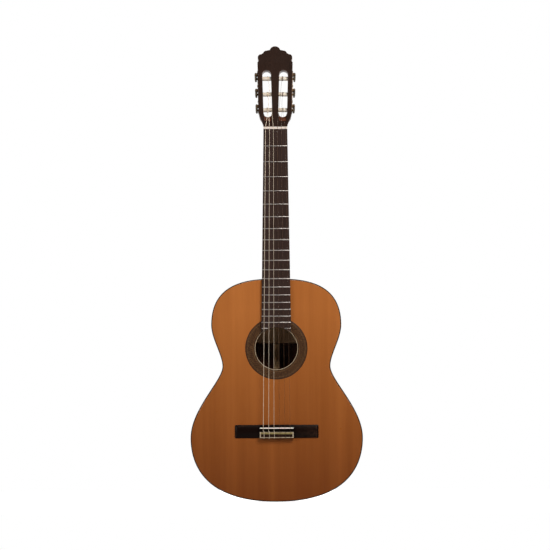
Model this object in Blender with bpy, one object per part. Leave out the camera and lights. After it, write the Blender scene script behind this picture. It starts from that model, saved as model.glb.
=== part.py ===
"""A classical guitar with a slotted head, built piece by piece.

World frame, in metres: the guitar stands upright with the tail at z = 0 and the head up. It faces
-Y, the bass side is at -X, and it is symmetric about the plane x = 0. Inside the body a place is
given as (x, depth, z), where depth is measured back from the face of the soundboard.
"""

import math

import bmesh
import bpy
from mathutils import Matrix, Vector

MM = 0.001

# Fits
GAP = 0.3 * MM  # between two pieces that touch
CUT_PAST = 5 * MM  # how far a cutter runs past what it cuts
RUNNING = 0.3 * MM  # round a shaft that turns
BRACE_GAP = 0.6 * MM  # under a brace, because the arched back is faceted

# Body outline: four heights that stack up to the body's length, three half widths
TAIL_TO_LOWER_BOUT = 139 * MM
LOWER_BOUT_TO_WAIST = 156 * MM
WAIST_TO_UPPER_BOUT = 90 * MM
UPPER_BOUT_TO_NECK = 100 * MM
LOWER_BOUT_HALF = 187.3 * MM
WAIST_HALF = 117.2 * MM
UPPER_BOUT_HALF = 141.4 * MM
# How far each of those places holds its direction, which sets how full the curve is
TAIL_FULLNESS = 162 * MM
LOWER_BOUT_FULLNESS = (53.2 * MM, 63.3 * MM)  # towards the tail, towards the waist
WAIST_FULLNESS = (30.9 * MM, 24.6 * MM)
UPPER_BOUT_FULLNESS = (30.3 * MM, 97 * MM)
SHOULDER_FULLNESS = 52.9 * MM
OUTLINE_SPANS = (9, 6, 5, 7)  # straight spans in each of the four stretches

# Body depth and walls
DEPTH_AT_TAIL = 96 * MM
DEPTH_AT_NECK = 91 * MM
BACK_ARCH = 4 * MM
TOP_THICKNESS = 2.5 * MM
BACK_THICKNESS = 2.5 * MM
SIDE_THICKNESS = 2 * MM
BINDING_WIDTH = 2 * MM
LINING_WIDTH = 5 * MM
LINING_HEIGHT = 12 * MM
BLOCK_HALF_WIDTH = 35 * MM
BLOCK_LENGTH = 22 * MM
FOOT_HALF = 46 * MM  # half width of the neck block's foot, which lies on the inside of the back
FOOT_THICKNESS = 11 * MM
FOOT_BELOW_NECK = 141 * MM  # from the neck end of the body to the foot's end
BACK_RINGS = (0.34, 0.68, 1.0)  # shares of the outline at which the arched back has corners

# Soundhole and rosette
HOLE_RADIUS = 45 * MM
HOLE_BELOW_NECK = 151.5 * MM
ROSETTE_INNER = 46 * MM
ROSETTE_OUTER = 67.6 * MM
ROSETTE_THICKNESS = 0.8 * MM
CIRCLE_SPANS = 48

# Braces
BAR_FROM_HOLE = 24 * MM  # from the edge of the hole to the middle of a harmonic bar
BAR_WIDTH = 6 * MM
BAR_HEIGHT = 14 * MM
BRACE_TAPER_FROM = 0.8  # share of its half length at which a bar starts to taper
BRACE_END_HEIGHT = 0.3  # share of its height that is left at its ends
FAN_COUNT = 5
FAN_SPREAD_TOP = 16 * MM
FAN_SPREAD_TAIL = 42 * MM
FAN_WIDTH = 4 * MM
FAN_TAIL_MARGIN = 45 * MM
PATCH_THICKNESS = 1.6 * MM
PATCH_HALF = 95 * MM
BACK_BRACE_HEIGHT = 14 * MM
BACK_BRACE_WIDTH = 7 * MM
BACK_BRACE_PLACES = {  # height above the tail
    "back_brace_lower": 92 * MM,
    "back_brace_middle": 180 * MM,
    "back_brace_upper": 270 * MM,
}

# Fingerboard and strings
SCALE_LENGTH = 650 * MM
FRETS = 19
JOIN_FRET = 12  # the fret that lies over the edge of the body
NUT_HALF = 26 * MM
NUT_LENGTH = 5.4 * MM
NUT_CREST = (  # (share of its length, how far below its top)
    (0, 0.4 * MM), (0.17, 0.0), (0.35, 0.1 * MM), (0.63, 1.1 * MM), (1, 2.4 * MM),
)
FINGERBOARD_JOIN_HALF = 30.7 * MM
FINGERBOARD_THICKNESS = 5.5 * MM
FINGERBOARD_PAST_LAST_FRET = 6 * MM
FINGERBOARD_END_CLEARANCE = 1.8 * MM  # from the edge of the soundhole
FRET_WIDTH = 2 * MM
FRET_HEIGHT = 1 * MM
STRING_OVER_FRET_AT_NUT = 0.5 * MM
STRING_HEIGHT_AT_SADDLE = 12.2 * MM  # underside of the strings over the soundboard
STRING_SPACING_AT_NUT = 8.6 * MM
STRING_SPACING_AT_SADDLE = 11.65 * MM
STRING_DIAMETERS = (1.09 * MM, 0.89 * MM, 0.74 * MM, 1.02 * MM, 0.82 * MM, 0.71 * MM)  # bass to treble

# Neck and heel
NECK_DEPTH_AT_NUT = 16.2 * MM
NECK_DEPTH_AT_HEEL = 18.5 * MM
NECK_ROUNDNESS = 0.85  # below 1 the back of the neck is a little flatter than a half circle
NECK_TO_HEAD = ((6 * MM, 0.3), (14 * MM, 0.8))  # (up the head, how square the section is)
NECK_TUCK = 0.3 * MM  # how far the neck's last section lies inside the head's slab
HEEL_START = 3 * MM
HEEL_TOP_HALF = 28 * MM
HEEL_CAP_HALF = 12 * MM
HEEL_TOP_REACH = 46 * MM
HEEL_CAP_REACH = 22 * MM
HEEL_CAP_THICKNESS = 3 * MM
HEEL_SHARES = (0, 0.12, 0.25, 0.45, 0.7, 1)  # of the way from the soundboard to the heel cap
HEEL_DRAW = (1.6, 2.5)  # how fast its half width and its reach shrink towards the cap

# Head, measured up from the nut along its tilted face
HEAD_TILT = math.radians(12)
HEAD_THICKNESS = 22 * MM
VENEER = 2 * MM
HEAD_FLARE = ((6, 27.6), (12, 30.0), (20, 33.4))  # (up, half width) in millimetres
HEAD_LOW = (30 * MM, 35.5 * MM)
HEAD_SQUARE_FROM = 0.75  # share of the way up to there at which the head's slab starts
HEAD_HIGH = (143 * MM, 38.4 * MM)
HEAD_NOTCH = (147.5 * MM, 35.3 * MM)
LOBES = (  # (middle across, middle up, half width, height, first angle, last angle)
    (31.3 * MM, 153.6 * MM, 6.3 * MM, 7.6 * MM, -20, 100),
    (19.0 * MM, 161.2 * MM, 7.3 * MM, 8.0 * MM, 20, 90),
    (0.0, 169.2 * MM, 11.3 * MM, 9.7 * MM, 10, 90),
)
LOBE_SPANS = 4
SLOT_RADIUS = 9.4 * MM
SLOT_LOW = (31.5 * MM, 16.2 * MM)  # middle of the slot's lower round end: up, across
SLOT_HIGH = (116.4 * MM, 18.4 * MM)
RAMP_START = 8 * MM
RAMP_DEPTH = 6 * MM
RAMP_HALF = 7.6 * MM
RAMP_PAST = 1 * MM  # how far the ramp's cutter runs past the face

# Tuning machines. "Out" is measured from the side of the head.
ROLLER_FIRST = 38.3 * MM
ROLLER_SPACING = 35 * MM
ROLLER_DEPTH = 11 * MM
ROLLER_RADIUS = 5 * MM
ROLLER_INNER_END = 33.3 * MM
ROLLER_SHOULDER = 1 * MM
ROLLER_STAGGER = 1.5 * MM  # how far apart neighbouring strings wind on their rollers
SHAFT_RADIUS = 2.5 * MM
PLATE_THICKNESS = 1 * MM
PLATE_HALF_WIDTH = 8 * MM
PLATE_BELOW_FIRST = 8 * MM
PLATE_ABOVE_LAST = 17 * MM
PLATE_CORNER = 3 * MM
PLATE_END_SHARE = 0.8  # of its half width, at its ends
GEAR_TEETH = 14
GEAR_MODULE = 0.92 * MM
GEAR_THICKNESS = 3 * MM
GEAR_OUT = 4.4 * MM  # middle plane of the gear, and the worm's axis
GEAR_TOOTH = (0.27, 0.12)  # half its width at the root and at the tip, as shares of a pitch
WORM_CREST = 2.7 * MM
WORM_ROOT = 1.7 * MM
WORM_TURNS = 3
WORM_SIDES = 6
WORM_SHAFT = 1.1 * MM
WORM_LIFT = (1.0, 1.0, 0.25, 0.0, 0.0, 0.25)  # height of the thread at each side of one turn
MESH_CLEARANCE = 0.35 * MM
TAB_THICKNESS = 1.4 * MM
TAB_HALF = 2.6 * MM
TAB_FROM_THREAD = 0.5 * MM
BUTTON_START = 15 * MM  # behind the roller's axis
BUTTON_LENGTH = 16 * MM
BUTTON_HALF_WIDTH = 9.8 * MM
BUTTON_THICKNESS = 5.4 * MM
BUTTON_STATIONS = (  # shares of its length, its half width and its thickness
    (0, 0.45, 0.8), (0.14, 0.72, 1.0), (0.38, 1.0, 1.0), (0.72, 1.0, 1.0), (0.93, 0.78, 0.85), (1, 0.55, 0.5),
)

# Bridge
BRIDGE_HALF = 90.8 * MM
BRIDGE_CENTRE_HALF = 37.4 * MM
BRIDGE_BELOW_SADDLE = 21.7 * MM
BRIDGE_ABOVE_SADDLE = 7.5 * MM
WING_EDGE = 1.6 * MM
WING_ARCH = 2.6 * MM
WING_RUNOUT = 5 * MM  # the stretch at each end in which a wing flattens
WING_SETBACK = 0.3 * MM
TIE_BLOCK_LENGTH = 13.8 * MM
TIE_BLOCK_HEIGHT = 9 * MM
VALLEY_LENGTH = 3.6 * MM
VALLEY_HEIGHT = 4.4 * MM
SADDLE_BLOCK_HEIGHT = 8.4 * MM
SADDLE_BLOCK_FRONT = 5.4 * MM
SADDLE_THICKNESS = 2.5 * MM
SLOT_FLOOR = 4.6 * MM
TIE_HOLE_RADIUS = 1.1 * MM
TIE_HOLE_HEIGHT = 5.9 * MM
INLAY_THICKNESS = 1 * MM
INLAY_EDGE = 2.8 * MM
CHAMFER = 0.6 * MM

# What follows from them
BODY_LENGTH = TAIL_TO_LOWER_BOUT + LOWER_BOUT_TO_WAIST + WAIST_TO_UPPER_BOUT + UPPER_BOUT_TO_NECK
NUT_Z = BODY_LENGTH + SCALE_LENGTH * 2 ** (-JOIN_FRET / 12)
SADDLE_Z = NUT_Z - SCALE_LENGTH
HOLE_Z = BODY_LENGTH - HOLE_BELOW_NECK
BOARD_TOP = GAP + FINGERBOARD_THICKNESS
STRING_HEIGHT_AT_NUT = BOARD_TOP + FRET_HEIGHT + STRING_OVER_FRET_AT_NUT
FRONT_REACH = STRING_HEIGHT_AT_SADDLE + max(STRING_DIAMETERS)
FACE_Y = -(DEPTH_AT_TAIL + BACK_ARCH - FRONT_REACH) / 2
WOOD_TOP = VENEER + GAP  # how far under the veneer's face the head's own wood starts
GEAR_PITCH_RADIUS = GEAR_MODULE * GEAR_TEETH / 2
WORM_ABOVE_ROLLER = GEAR_PITCH_RADIUS + (WORM_CREST + WORM_ROOT) / 2 + MESH_CLEARANCE
GEAR_TIP = WORM_ABOVE_ROLLER - WORM_ROOT - MESH_CLEARANCE
GEAR_ROOT = WORM_ABOVE_ROLLER - WORM_CREST - MESH_CLEARANCE
THREAD_PITCH = math.pi * GEAR_MODULE
THREAD_HALF = THREAD_PITCH * WORM_TURNS / 2
SIDE_SLOPE = math.atan2(HEAD_HIGH[1] - HEAD_LOW[1], HEAD_HIGH[0] - HEAD_LOW[0])


# ---------------------------------------------------------------- materials and meshes

def material(name, colour, roughness, metallic=0.0):
    made = bpy.data.materials.get(name)
    if made:
        return made
    made = bpy.data.materials.new(name)
    made.use_nodes = True
    surface = made.node_tree.nodes["Principled BSDF"]
    surface.inputs["Base Color"].default_value = (*colour, 1.0)
    surface.inputs["Roughness"].default_value = roughness
    surface.inputs["Metallic"].default_value = metallic
    return made


FINISHES = {
    "cedar": ((0.24, 0.085, 0.022), 0.3, 0.0),
    "rosewood": ((0.055, 0.022, 0.013), 0.32, 0.0),
    "mahogany": ((0.12, 0.045, 0.02), 0.4, 0.0),
    "ebony": ((0.03, 0.02, 0.018), 0.45, 0.0),
    "spruce": ((0.55, 0.38, 0.2), 0.7, 0.0),
    "bone": ((0.62, 0.55, 0.45), 0.35, 0.0),
    "rosette_mosaic": ((0.06, 0.03, 0.015), 0.35, 0.0),
    "brass": ((0.6, 0.45, 0.2), 0.3, 1.0),
    "button_plastic": ((0.015, 0.012, 0.012), 0.25, 0.0),
    "nylon": ((0.7, 0.66, 0.58), 0.3, 0.0),
    "wound_string": ((0.6, 0.55, 0.48), 0.3, 1.0),
}


def world_point(x, depth, z):
    return Vector((x, FACE_Y + depth, z))


def local_point(x, y, z):
    return Vector((x, y, z))


def head_point(across, up, back):
    """A point of the tilted head: back is measured from the veneer's face."""
    start = world_point(0, 0, NUT_Z + NUT_LENGTH)
    behind = Vector((0, math.cos(HEAD_TILT), -math.sin(HEAD_TILT)))
    along = Vector((0, math.sin(HEAD_TILT), math.cos(HEAD_TILT)))
    return start + Vector((across, 0, 0)) + along * up + behind * (back - WOOD_TOP)


def side_point(side):
    """Points of one side of the head: out from it, up along it from the middle roller, and back."""
    middle = ROLLER_FIRST + ROLLER_SPACING
    half = HEAD_LOW[1] + (middle - HEAD_LOW[0]) * math.tan(SIDE_SLOPE)

    def point(out, up, back):
        across = half + out * math.cos(SIDE_SLOPE) + up * math.sin(SIDE_SLOPE)
        height = middle - out * math.sin(SIDE_SLOPE) + up * math.cos(SIDE_SLOPE)
        return head_point(side * across, height, back)

    return point


def show(name, mesh, finish):
    """An object for the mesh, smooth where it is round."""
    mesh.shade_smooth()
    mesh.set_sharp_from_angle(angle=math.radians(35))
    if not mesh.materials:
        mesh.materials.append(material(finish, *FINISHES[finish]))
    made = bpy.data.objects.new(name, mesh)
    bpy.context.scene.collection.objects.link(made)
    return made


def add_loft(shape, sections, point, ring=False):
    """Skins neighbouring sections of equal length. Its ends are capped unless it is a ring."""
    rows = [[shape.verts.new(point(*corner)) for corner in section] for section in sections]
    pairs = list(zip(rows, rows[1:]))
    if ring:
        pairs.append((rows[-1], rows[0]))
    for first, second in pairs:
        for i in range(len(first)):
            j = (i + 1) % len(first)
            shape.faces.new((first[i], first[j], second[j], second[i]))
    if not ring:
        shape.faces.new(rows[0])
        shape.faces.new(rows[-1])


def finished_mesh(name, shape):
    bmesh.ops.remove_doubles(shape, verts=shape.verts, dist=1e-6)
    bmesh.ops.recalc_face_normals(shape, faces=shape.faces)
    mesh = bpy.data.meshes.new(name)
    shape.to_mesh(mesh)
    shape.free()
    return mesh


def lofts(name, finish, solids, point=world_point, ring=False):
    """One object from a list of solids, each a list of sections."""
    shape = bmesh.new()
    for sections in solids:
        add_loft(shape, sections, point, ring)
    return show(name, finished_mesh(name, shape), finish)


def loft(name, finish, sections, point=world_point, ring=False):
    return lofts(name, finish, [sections], point, ring)


def box_sections(x, depth, z):
    """A box as two sections, from its three (low, high) ranges."""
    corners = ((x[0], z[0]), (x[1], z[0]), (x[1], z[1]), (x[0], z[1]))
    return [[(across, at, up) for across, up in corners] for at in depth]


def circle(radius, spans, place):
    """Points round a circle. place turns two offsets into a point's three numbers."""
    turns = [2 * math.pi * i / spans for i in range(spans)]
    return [place(radius * math.cos(turn), radius * math.sin(turn)) for turn in turns]


def cutter(made):
    made.hide_render = True
    made.display_type = "WIRE"
    return made


def combine(base, other, operation):
    change = base.modifiers.new(f"{operation.lower()}_{other.name}", "BOOLEAN")
    change.operation = operation
    change.solver = "EXACT"
    change.object = cutter(other)


def cut(base, *others):
    for other in others:
        combine(base, other, "DIFFERENCE")


# ---------------------------------------------------------------- body outline

def bezier(points, share):
    """Place and direction on a cubic curve."""
    a, b, c, d = points
    rest = 1 - share
    place = a * rest**3 + b * 3 * rest**2 * share + c * 3 * rest * share**2 + d * share**3
    slope = (b - a) * rest**2 + (c - b) * 2 * rest * share + (d - c) * share**2
    return place, slope.normalized()


def half_outline(inset=0.0):
    """(x, z) points of the treble half of the body, from the tail to the neck."""
    waist = TAIL_TO_LOWER_BOUT + LOWER_BOUT_TO_WAIST
    upper = waist + WAIST_TO_UPPER_BOUT
    tail = Vector((0, 0))
    lower_bout = Vector((LOWER_BOUT_HALF, TAIL_TO_LOWER_BOUT))
    waist = Vector((WAIST_HALF, waist))
    upper_bout = Vector((UPPER_BOUT_HALF, upper))
    neck = Vector((0, BODY_LENGTH))
    out = Vector((1, 0))
    up = Vector((0, 1))
    stretches = (
        (tail, tail + out * TAIL_FULLNESS, lower_bout - up * LOWER_BOUT_FULLNESS[0], lower_bout),
        (lower_bout, lower_bout + up * LOWER_BOUT_FULLNESS[1], waist - up * WAIST_FULLNESS[0], waist),
        (waist, waist + up * WAIST_FULLNESS[1], upper_bout - up * UPPER_BOUT_FULLNESS[0], upper_bout),
        (upper_bout, upper_bout + up * UPPER_BOUT_FULLNESS[1], neck + out * SHOULDER_FULLNESS, neck),
    )
    points = []
    for stretch, spans in zip(stretches, OUTLINE_SPANS):
        for step in range(spans):
            points.append(bezier(stretch, step / spans))
    points.append(bezier(stretches[-1], 1.0))
    return [(place.x - slope.y * inset, place.y + slope.x * inset) for place, slope in points]


def outline(inset=0.0):
    treble = half_outline(inset)
    return treble + [(-x, z) for x, z in treble[-2:0:-1]]


def half_width(z, inset):
    """Half the body's width at a height, inside the given inset."""
    points = half_outline(inset)
    for (x0, z0), (x1, z1) in zip(points, points[1:]):
        if z0 <= z <= z1:
            return x0 + (x1 - x0) * (z - z0) / (z1 - z0)
    return 0.0


def back_depth(x, z):
    """Depth of the body's outer back, which tapers to the neck and is arched across."""
    flat = DEPTH_AT_TAIL + (DEPTH_AT_NECK - DEPTH_AT_TAIL) * z / BODY_LENGTH
    return flat + BACK_ARCH * (1 - (x / LOWER_BOUT_HALF) ** 2)


def inner_back(x, z):
    return back_depth(x, z) - BACK_THICKNESS


INNER_TOP = TOP_THICKNESS + GAP  # depth at which what is under the soundboard starts


# ---------------------------------------------------------------- body

def hole_circle(radius, depth):
    return circle(radius, CIRCLE_SPANS, lambda a, b: (a, depth, HOLE_Z + b))


def hole_band(inner_radius, outer_radius, front, back):
    """Sections of a flat band round the soundhole, between two radii and two depths."""
    sections = []
    for inner, outer in zip(hole_circle(inner_radius, front), hole_circle(outer_radius, front)):
        sections.append([inner, outer, (outer[0], back, outer[2]), (inner[0], back, inner[2])])
    return sections


def make_soundboard():
    edge = outline(BINDING_WIDTH + GAP)
    plate = loft("soundboard", "cedar", [[(x, depth, z) for x, z in edge] for depth in (0, TOP_THICKNESS)])
    hole = [hole_circle(HOLE_RADIUS, depth) for depth in (-TOP_THICKNESS, 2 * TOP_THICKNESS)]
    floor = ROSETTE_THICKNESS + GAP
    recess = hole_band(ROSETTE_INNER - GAP, ROSETTE_OUTER + GAP, -floor, floor)
    cut(plate, loft("soundhole_cutter", "cedar", hole))
    cut(plate, loft("rosette_recess_cutter", "cedar", recess, ring=True))


def make_rosette():
    band = hole_band(ROSETTE_INNER, ROSETTE_OUTER, 0, ROSETTE_THICKNESS)
    loft("rosette", "rosette_mosaic", band, ring=True)


def make_back():
    edge = outline(BINDING_WIDTH + GAP)
    middle = TAIL_TO_LOWER_BOUT + LOWER_BOUT_TO_WAIST

    def layer(share, depth):
        ring = [(x * share, middle + (z - middle) * share) for x, z in edge]
        return [(x, depth(x, z), z) for x, z in ring]

    inside = [layer(share, inner_back) for share in BACK_RINGS]
    outside = [layer(share, back_depth) for share in reversed(BACK_RINGS)]
    loft("back", "rosewood", inside + outside)


def make_sides():
    for name, side in (("side_bass", -1), ("side_treble", 1)):
        outer = half_outline()
        inner = half_outline(SIDE_THICKNESS)
        sections = []
        for (x0, z0), (x1, z1) in zip(outer, inner):
            x0 = side * max(x0, GAP / 2)
            x1 = side * max(x1, GAP / 2)
            top = TOP_THICKNESS + GAP
            sections.append([
                (x0, top, z0), (x1, top, z1),
                (x1, inner_back(x1, z1) - GAP, z1), (x0, inner_back(x0, z0) - GAP, z0)])
        loft(name, "rosewood", sections)


def make_bindings():
    pairs = list(zip(outline(), outline(BINDING_WIDTH)))
    top = [
        [(a[0], 0, a[1]), (b[0], 0, b[1]), (b[0], TOP_THICKNESS, b[1]), (a[0], TOP_THICKNESS, a[1])]
        for a, b in pairs
    ]
    back = [
        [(a[0], back_depth(*a), a[1]), (b[0], back_depth(*b), b[1]),
         (b[0], inner_back(*b), b[1]), (a[0], inner_back(*a), a[1])]
        for a, b in pairs
    ]
    loft("top_binding", "ebony", top, ring=True)
    loft("back_binding", "ebony", back, ring=True)


def make_linings():
    """Three-cornered strips that glue the plates to the sides, between the two end blocks."""
    against = half_outline(SIDE_THICKNESS + GAP)
    inner = half_outline(SIDE_THICKNESS + GAP + LINING_WIDTH)
    clear = BLOCK_HALF_WIDTH + LINING_WIDTH
    pairs = [(a, b) for a, b in zip(against, inner) if b[0] > clear]
    for name, side in (("bass", -1), ("treble", 1)):
        top = []
        back = []
        for (xa, za), (xb, zb) in pairs:
            top.append([
                (side * xa, INNER_TOP, za), (side * xb, INNER_TOP, zb),
                (side * xa, INNER_TOP + LINING_HEIGHT, za)])
            back.append([
                (side * xa, inner_back(xa, za) - GAP, za), (side * xb, inner_back(xb, zb) - GAP, zb),
                (side * xa, inner_back(xa, za) - GAP - LINING_HEIGHT, za)])
        loft(f"top_lining_{name}", "spruce", top)
        loft(f"back_lining_{name}", "spruce", back)


def end_z(x, inset, low):
    """Height of the tail or neck end of the outline at a place across."""
    points = half_outline(inset)
    points = points if low else points[::-1]
    for (x0, z0), (x1, z1) in zip(points, points[1:]):
        if x0 <= x <= x1:
            return z0 + (z1 - z0) * (x - x0) / (x1 - x0)
    return points[0][1]


def make_blocks():
    for name, low in (("tail_block", True), ("neck_block", False)):
        ring = []
        for step in range(-2, 3):
            x = BLOCK_HALF_WIDTH * step / 2
            ring.append((x, end_z(abs(x), SIDE_THICKNESS + GAP, low)))
        face = ring[2][1] + (BLOCK_LENGTH if low else -BLOCK_LENGTH)
        ring += [(BLOCK_HALF_WIDTH, face), (-BLOCK_HALF_WIDTH, face)]
        sections = [
            [(x, INNER_TOP, z) for x, z in ring],
            [(x, inner_back(x, z) - GAP, z) for x, z in ring],
        ]
        block = loft(name, "mahogany", sections)
        if name == "neck_block":
            combine(block, make_neck_foot(face), "UNION")


def make_neck_foot(face):
    """A flat foot from the neck block down the inside of the back, as far as the soundhole."""
    low = BODY_LENGTH - FOOT_BELOW_NECK
    high = face + BLOCK_LENGTH / 2
    sections = []
    for x in (-FOOT_HALF, 0, FOOT_HALF):
        section = []
        for z, lift in ((low, FOOT_THICKNESS), (low, 0), (high, 0), (high, FOOT_THICKNESS)):
            section.append((x, inner_back(x, z) - BRACE_GAP - lift, z))
        sections.append(section)
    return loft("neck_foot_joiner", "mahogany", sections)


def make_bars():
    inset = SIDE_THICKNESS + GAP + LINING_WIDTH + GAP
    for name, z in (
        ("upper_harmonic_bar", HOLE_Z + HOLE_RADIUS + BAR_FROM_HOLE),
        ("lower_harmonic_bar", HOLE_Z - HOLE_RADIUS - BAR_FROM_HOLE),
    ):
        half = min(half_width(z - BAR_WIDTH / 2, inset), half_width(z + BAR_WIDTH / 2, inset))
        low = z - BAR_WIDTH / 2
        high = z + BAR_WIDTH / 2
        sections = [
            [(x, INNER_TOP, low), (x, INNER_TOP, high), (x, INNER_TOP + height, high),
             (x, INNER_TOP + height, low)]
            for x, height in (
                (-half, BAR_HEIGHT * BRACE_END_HEIGHT), (-half * BRACE_TAPER_FROM, BAR_HEIGHT),
                (half * BRACE_TAPER_FROM, BAR_HEIGHT), (half, BAR_HEIGHT * BRACE_END_HEIGHT))
        ]
        loft(name, "spruce", sections)


def make_fans():
    top = HOLE_Z - HOLE_RADIUS - BAR_FROM_HOLE - BAR_WIDTH / 2 - FAN_WIDTH
    fans = []
    for i in range(FAN_COUNT):
        place = i - (FAN_COUNT - 1) / 2
        fan = []
        for x, z in ((place * FAN_SPREAD_TAIL, FAN_TAIL_MARGIN), (place * FAN_SPREAD_TOP, top)):
            low = x - FAN_WIDTH / 2
            high = x + FAN_WIDTH / 2
            deep = INNER_TOP + FAN_WIDTH
            fan.append([(low, INNER_TOP, z), (high, INNER_TOP, z), (high, deep, z), (low, deep, z)])
        fans.append(fan)
    bracing = lofts("fan_bracing", "spruce", fans)
    patch = box_sections(
        (-PATCH_HALF, PATCH_HALF), (INNER_TOP, INNER_TOP + PATCH_THICKNESS),
        (SADDLE_Z - BRIDGE_BELOW_SADDLE, SADDLE_Z + BRIDGE_ABOVE_SADDLE))
    combine(bracing, loft("bridge_patch_joiner", "spruce", patch), "UNION")


def make_back_braces():
    inset = SIDE_THICKNESS + GAP + LINING_WIDTH + GAP
    for name, z in BACK_BRACE_PLACES.items():
        low = z - BACK_BRACE_WIDTH / 2
        high = z + BACK_BRACE_WIDTH / 2
        half = min(half_width(low, inset), half_width(high, inset))
        sections = []
        for share in (-1, -BRACE_TAPER_FROM, -0.5, 0, 0.5, BRACE_TAPER_FROM, 1):
            x = half * share
            height = BACK_BRACE_HEIGHT * (BRACE_END_HEIGHT if abs(share) == 1 else 1)
            deep = inner_back(x, high) - BRACE_GAP
            sections.append([
                (x, deep, low), (x, deep, high), (x, deep - height, high), (x, deep - height, low)])
        loft(name, "spruce", sections)


# ---------------------------------------------------------------- neck and head

def board_half(z):
    """Half the fingerboard's width at a height: a straight taper from the nut through the join."""
    share = (NUT_Z - z) / (NUT_Z - BODY_LENGTH)
    return NUT_HALF + (FINGERBOARD_JOIN_HALF - NUT_HALF) * share


def head_half(up):
    """Half the head's width at a height below its straight sides."""
    points = [(0, NUT_HALF)] + [(a * MM, b * MM) for a, b in HEAD_FLARE] + [HEAD_LOW]
    for (up0, half0), (up1, half1) in zip(points, points[1:]):
        if up <= up1:
            return half0 + (half1 - half0) * (up - up0) / (up1 - up0)
    return HEAD_LOW[1]


def head_outline(start):
    """(across, up) points of the whole head from a height upwards, with its five-lobed crest."""
    half = [(head_half(start), start)]
    half += [(b * MM, a * MM) for a, b in HEAD_FLARE if a * MM > start]
    half += [(HEAD_LOW[1], HEAD_LOW[0]), (HEAD_HIGH[1], HEAD_HIGH[0]), (HEAD_NOTCH[1], HEAD_NOTCH[0])]
    for across, up, width, height, first, last in LOBES:
        for step in range(LOBE_SPANS + 1):
            turn = math.radians(first + (last - first) * step / LOBE_SPANS)
            half.append((across + width * math.cos(turn), up + height * math.sin(turn)))
    mirrored = [(-across, up) for across, up in reversed(half) if across > 1e-9]
    half[-1] = (0.0, half[-1][1])
    return half + [point for point in mirrored if point[0] < 0]


def rounded_section(half, deep, squareness):
    """Nine corners of a neck section: a flat front and a back that goes from round to square."""
    square = ((1, 0), (1, 0.5), (1, 1), (0.5, 1), (0, 1), (-0.5, 1), (-1, 1), (-1, 0.5), (-1, 0))
    corners = []
    for i, (across, back) in enumerate(square):
        turn = math.pi * i / 8
        round_across = math.cos(turn)
        round_back = max(math.sin(turn), 0.0) ** NECK_ROUNDNESS
        corners.append((
            half * (round_across + (across - round_across) * squareness),
            deep * (round_back + (back - round_back) * squareness)))
    return corners


def slot_cutters(name, back):
    """The two long slots of the head, as cutters that go from its front to the given depth."""
    made = []
    for side, word in ((-1, "bass"), (1, "treble")):
        ring = []
        for (up, across), first in ((SLOT_HIGH, 0), (SLOT_LOW, 180)):
            for step in range(7):
                turn = math.radians(first + 30 * step)
                ring.append((side * across + SLOT_RADIUS * math.cos(turn), up + SLOT_RADIUS * math.sin(turn)))
        sections = [[(across, up, depth) for across, up in ring] for depth in (-back, back)]
        made.append(loft(f"{name}_slot_cutter_{word}", "ebony", sections, head_point))
        bottom = SLOT_LOW[0] - SLOT_RADIUS
        slope = RAMP_DEPTH / (bottom - RAMP_START)
        deepest = (SLOT_LOW[0] - RAMP_START) * slope
        before = RAMP_START - RAMP_PAST
        wedge = ((before, -RAMP_PAST), (SLOT_LOW[0], -RAMP_PAST), (SLOT_LOW[0], deepest),
                 (before, -slope * RAMP_PAST))
        middle = side * SLOT_LOW[1]
        ramp = [[(middle + x, up, depth) for up, depth in wedge] for x in (-RAMP_HALF, RAMP_HALF)]
        made.append(loft(f"{name}_ramp_cutter_{word}", "ebony", ramp, head_point))
    return made


def make_neck():
    start = BODY_LENGTH + GAP
    nut_back = NUT_Z + NUT_LENGTH
    wood = HEAD_THICKNESS - WOOD_TOP
    shaft = []
    for share in (0, 0.5, 1):
        z = start + (nut_back - start) * share
        deep = NECK_DEPTH_AT_HEEL + (NECK_DEPTH_AT_NUT - NECK_DEPTH_AT_HEEL) * share
        corners = rounded_section(board_half(min(z, NUT_Z)), deep, 0)
        shaft.append([world_point(x, back, z) for x, back in corners])
    square_from = HEAD_LOW[0] * HEAD_SQUARE_FROM
    for up, squareness in (*NECK_TO_HEAD, (square_from + 1 * MM, 1)):
        deep = NECK_DEPTH_AT_NUT + (wood - NECK_DEPTH_AT_NUT) * min(up / square_from, 1)
        inset = NECK_TUCK if squareness == 1 else 0
        corners = rounded_section(head_half(up) - inset, deep - 2 * inset, squareness)
        shaft.append([head_point(x, up, WOOD_TOP + inset + back) for x, back in corners])
    neck = loft("neck", "mahogany", shaft, lambda *place: Vector(place))
    ring = head_outline(square_from)
    slab = loft(
        "head_slab", "mahogany",
        [[(across, up, depth) for across, up in ring] for depth in (WOOD_TOP, HEAD_THICKNESS)], head_point)
    combine(neck, slab, "UNION")
    bottom = back_depth(0, BODY_LENGTH) - HEEL_CAP_THICKNESS - GAP
    heel = [heel_section(share, HEEL_START + (bottom - HEEL_START) * share)
            for share in HEEL_SHARES]
    combine(neck, loft("heel_joiner", "mahogany", heel), "UNION")
    cut(neck, *slot_cutters("neck", HEAD_THICKNESS + CUT_PAST))
    for side, word in ((-1, "bass"), (1, "treble")):
        bores = []
        for up in (-ROLLER_SPACING, 0, ROLLER_SPACING):
            bores.append([
                circle(ROLLER_RADIUS + RUNNING, 14, lambda a, b: (out, up + a, ROLLER_DEPTH + b))
                for out in (-ROLLER_INNER_END - GAP, ROLLER_RADIUS)])
        cut(neck, lofts(f"roller_bore_cutter_{word}", "mahogany", bores, side_point(side)))


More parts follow.
